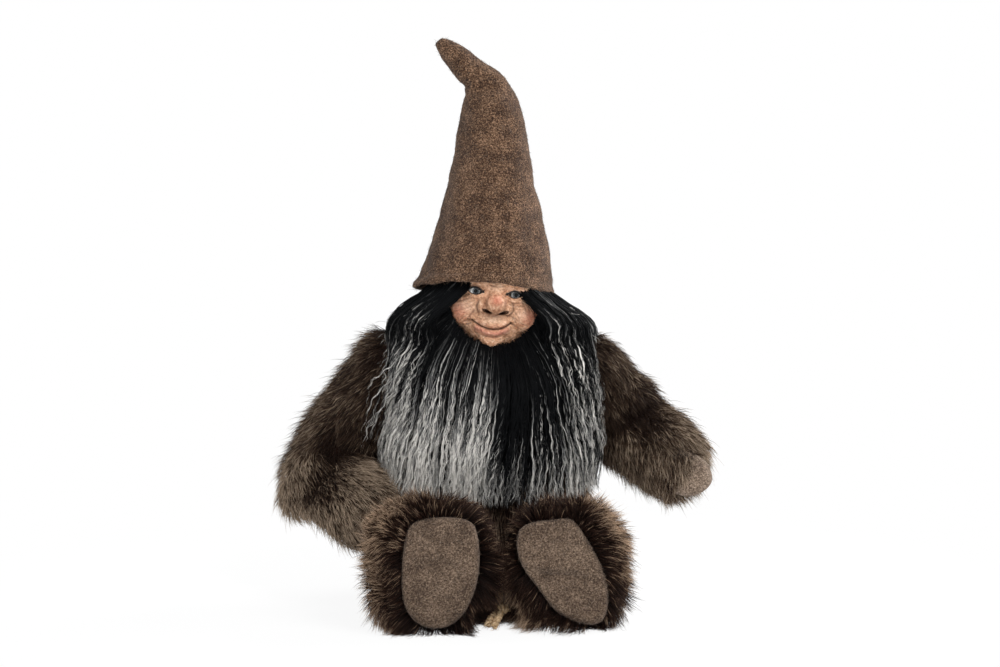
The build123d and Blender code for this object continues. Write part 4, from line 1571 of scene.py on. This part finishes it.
def make_torso():
    """The body's fabric and fur, with a fringe over its lower rim."""

    def bald(points, normals):
        """No fur under the seat, nor where the beard lies on the chest."""
        seat = (points[:, 2] < 14) & (normals[:, 2] < -0.45)
        chest = (points[:, 1] < -52) & (points[:, 2] > 150) & (np.abs(points[:, 0]) < 60)
        neck = points[:, 2] > 236
        return seat | chest | neck

    def lift(points):
        """Near the floor the fur stands out further."""
        return 0.45 + 0.6 * ease(34.0, 8.0, points[:, 2])

    def above_rim(points, normals):
        """All but a low band round the body's back and sides."""
        return (points[:, 2] > 15) | (points[:, 1] < -40) | (normals[:, 2] < -0.8)

    fabric = swollen_copy("torso_stuffing", "torso_hide", HIDE_VOXEL, HIDE_OUT, hide_cloth)
    move_points(fabric, np.maximum(shape_of(fabric)[0], np.array([-1e3, -1e3, SEAT_GAP])))
    cover(fabric, "torso", "torso_fur")
    pile = fur("torso_fur_pile", fabric, PILE["torso"], comb_torso, bald, body_fur, lift=lift)
    fringe = fur("torso_fringe", fabric, PILE["rim"], comb_torso, above_rim, body_fur, lift=1.3, droop=0.5)
    dress(pile + fringe, "torso", "torso_fur")


def make_arm(side):
    """A furred sleeve and its felt mitten, with the stuffing of both."""
    arm, hand = f"{side}_arm", f"{side}_hand"
    wrist = np.array(ARM_LINE[side][2])
    _, lower, forearm = arm_ways(side)

    def bald(points, normals):
        """The sleeve's end, and the wrist's underside."""
        past = (points - wrist) @ lower
        return ((past > 4.0) & (normals @ lower > 0.8)) | ((past > -12.0) & (normals[:, 2] < -0.35))

    def length(points):
        """Longer at the wrist, where it hangs over the hand."""
        return FUR_ARM[side] + 6.0 * ease(-22.0, -4.0, (points - wrist) @ lower)

    def lift(points):
        return 0.7 - 0.32 * forearm(points)

    def swirl(points):
        return 0.36 - 0.26 * forearm(points)

    fabric = cover(sleeve(side, hide_cloth), arm, f"{arm}_fur")
    pile = fur(
        f"{arm}_pile", fabric, PILE["arm"], comb_arm(side), bald, body_fur,
        length=length, lift=lift, tone=arm_tone_and_shade(side), swirl=swirl, droop=FUR_ARM_DROOP[side],
    )
    dress(pile, arm, f"{arm}_fur")
    sag = functools.partial(sagged, side)
    inset = -FILLING_IN["arm"]
    filling = make_filling(f"{arm}_stuffing", f"{arm}_filling", HIDE_VOXEL, inset, sag, fibre_fill)
    dress([filling], arm, f"{arm}_stuffing")

    mitten = cover(make_hand(side, hand_felt), arm, f"{hand}_felt")
    dress(fuzz(f"{side}_mitten_fuzz", mitten, "mitten", sole_fibre), arm, f"{hand}_felt")
    middle = shape_of(mitten)[0].mean(0)

    def off_wrist(points, normals):
        """All of the hand but its upper inner side, where the sleeve's fur hangs over it."""
        inner = np.array([-0.8 * SIDES[side], 0.0, 0.6])
        return ((points - middle) @ inner < 2.0) | ((points - middle) @ lower > 16.0)

    fringe = fur(
        f"{arm}_fringe", mitten, PILE["wrist"], comb_torso, off_wrist, body_fur,
        length=FUR_WRIST, lift=0.3, tone=arm_tone_and_shade(side), swirl=0.2, droop=0.3,
    )
    dress(fringe, arm, f"{arm}_fur")
    tuck = functools.partial(drawn_back, side)
    inset, name = -FILLING_IN["hand"], f"{side}_mitten_filling"
    filling = make_filling(f"{hand}_stuffing", name, HAND_FILLING_VOXEL, inset, tuck, fibre_fill)
    dress([filling], arm, f"{hand}_stuffing")


def make_leg(side):
    leg = f"{side}_leg"

    def bald(points, normals):
        """The side that lies on the floor."""
        return (points[:, 2] < 10) & (normals[:, 2] < -0.4)

    fabric = swollen_copy(f"{leg}_stuffing", f"{leg}_hide", HIDE_VOXEL, HIDE_OUT, hide_cloth)
    cover(fabric, leg, f"{leg}_fur")
    pile = fur(f"{leg}_pile", fabric, PILE["leg"], comb_leg, bald, body_fur, length=FUR_LEG)
    dress(pile, leg, f"{leg}_fur")


def make_foot(side):
    """A furred foot with its felt sole."""
    leg, foot, facts = f"{side}_leg", f"{side}_foot", SOLES[side]
    outline = closed_outline(facts["outline"], 90)
    turns = np.arctan2(outline[:, 1], outline[:, 0])
    order = np.argsort(turns)
    reach = np.hypot(outline[:, 0], outline[:, 1])[order]

    def past_sole(points):
        """How far out from the sole's edge points lie, as seen from the front."""
        flat = points[:, [0, 2]] - np.array(facts["middle"])
        limit = np.interp(np.arctan2(flat[:, 1], flat[:, 0]), turns[order], reach, period=2 * math.pi)
        return np.hypot(flat[:, 0], flat[:, 1]) - limit

    def bald(points, normals):
        """No fur on the floor side, nor behind the sole."""
        behind = (points[:, 1] < facts["front"] + 25) & (past_sole(points) < -8.0)
        return behind | ((points[:, 2] < 10) & (normals[:, 2] < -0.9))

    def length(points):
        """Long low down and towards the other foot, short in front where the rope lies."""
        x, y, z = points.T
        near = ease(36.0, 24.0, np.abs(x - 6.0)) * ease(46.0, 34.0, z)
        short = near * np.maximum(ease(-124.0, -140.0, y) * ease(14.0, 26.0, z), ease(-158.0, -170.0, y))
        inner = hump(x - 8.0, 30.0) * ease(100.0, 60.0, z)
        long = 25.0 + np.maximum(12.0 * inner, 10.0 * ease(48.0, 16.0, z))
        return long + (10.0 - long) * short

    def tone(points):
        """Painted shade: darkest next to the sole's rim and between the feet; palest outside."""
        past = past_sole(points)
        between = hump(points[:, 0] - 8.0, 24.0)
        # Painted shade next to the sole and in the gap between the feet
        return -0.06 - 0.3 * hump(past, 9.0) + 0.19 * ease(6, 20, past) - 0.22 * between

    fabric = swollen_copy(f"{foot}_stuffing", f"{foot}_hide", HIDE_VOXEL, HIDE_OUT, hide_cloth)
    cover(fabric, leg, f"{foot}_fur")
    pile = fur(
        f"{foot}_pile", fabric, PILE["foot"], comb_foot(side), bald, foot_fur,
        length=length, lift=0.5, tone=tone, swirl=0.45, clump=0.8,
    )
    dress(pile + fur_between(side, fabric, foot_fur), leg, f"{foot}_fur")
    sole = cover(make_sole(side, sole_felt), leg, f"{side}_sole")
    dress(fuzz(f"{side}_sole_fuzz", sole, "sole", sole_fibre), leg, f"{side}_sole")


make_camera()
make_light()
make_floor()

jute = rope_material("jute")
jute_fibre = fibre_material("jute_fibre", (0.25, 0.14, 0.06), (0.6, 0.43, 0.24))
rope, knot, ends, rope_path = make_rope(jute, jute_fibre)
dress([rope], "torso", "tail_rope")
dress([knot], "torso", "tail_knot")
dress(ends, "torso", "tail_ends")

hide_cloth = hide_material("hide", (0.018, 0.008, 0.005), (0.007, 0.003, 0.002))
body_fur = fur_material("body_fur", (0.010, 0.0045, 0.003), (0.07, 0.043, 0.027), (0.42, 0.32, 0.23))
foot_fur = fur_material("foot_fur", (0.005, 0.0018, 0.0011), (0.034, 0.0145, 0.0085), (0.5, 0.35, 0.235))
sole_felt = felt_material(
    "sole_felt", (0.036, 0.023, 0.015), (0.115, 0.076, 0.052), (0.26, 0.19, 0.135), 700.0
)
sole_fibre = fibre_material("sole_fibre", (0.06, 0.04, 0.028), (0.27, 0.2, 0.15))
hand_felt = felt_material(
    "hand_felt", (0.085, 0.058, 0.041), (0.228, 0.167, 0.122), (0.46, 0.355, 0.275), 700.0
)
fibre_fill = plain_material("fibre_fill", (0.55, 0.54, 0.5), (0.8, 0.79, 0.75), 120.0, 0.95)

make_torso()
for side in SIDES:
    make_arm(side)
    make_leg(side)
    make_foot(side)

skin = skin_material("skin")
dress([make_face(skin)], "head", "face_mask")
eye_paint = eye_material("eye_paint")
for side in SIDES:
    dress([make_eye(side, eye_paint)], "head", f"{side}_eye")

wool_form = WoolForm()
wool_paint = wool_material("wool_paint", (0.0025, 0.0028, 0.0034), (0.165, 0.165, 0.162), (0.78, 0.75, 0.7))
drape(make_beard(wool_form, wool_paint), "beard")
for side in SIDES:
    drape(make_side_hair(side, wool_form, wool_paint), f"hair_{side}")
    drape(make_stray_hair(side, wool_form, wool_paint), f"hair_{side}")
drape(make_back_hair(wool_form, wool_paint), "hair_back")

hat_felt = felt_material(
    "hat_felt", (0.018, 0.008, 0.0045), (0.098, 0.052, 0.028), (0.36, 0.22, 0.137), 800.0
)
hat_fibre = fibre_material("hat_fibre", (0.04, 0.023, 0.014), (0.27, 0.185, 0.125))
hat = make_hat(hat_felt)
for piece in [hat] + fuzz("hat_fuzz", hat, "hat", hat_fibre):
    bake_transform(piece)
    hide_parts("hat_cone", "hat_tip")
hat_filling = swollen_copy("hat_stuffing", "hat_filling", HIDE_VOXEL, -FILLING_IN["hat"], fibre_fill)
dress([hat_filling], "head", "hat_stuffing")

# CAD nodes that no piece stands for keep their shape and get a finish
INSIDE = {
    "stuffing": fibre_fill,
    "pellet_bag": plain_material("bag_cloth", (0.3, 0.27, 0.22), (0.5, 0.46, 0.38), 500.0, 0.9),
    "seat_panel": plain_material("base_cloth", (0.02, 0.014, 0.01), (0.06, 0.045, 0.034), 700.0, 0.95),
    "neck_peg": plain_material("peg_wood", (0.3, 0.18, 0.08), (0.55, 0.37, 0.2), 90.0, 0.6),
    "head_core": plain_material("head_foam", (0.012, 0.011, 0.01), (0.03, 0.028, 0.026), 300.0, 0.95),
}
for node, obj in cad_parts.items():
    for key, finish in INSIDE.items():
        if key in node and not obj.hide_render:
            obj.data.materials.clear()
            obj.data.materials.append(finish)
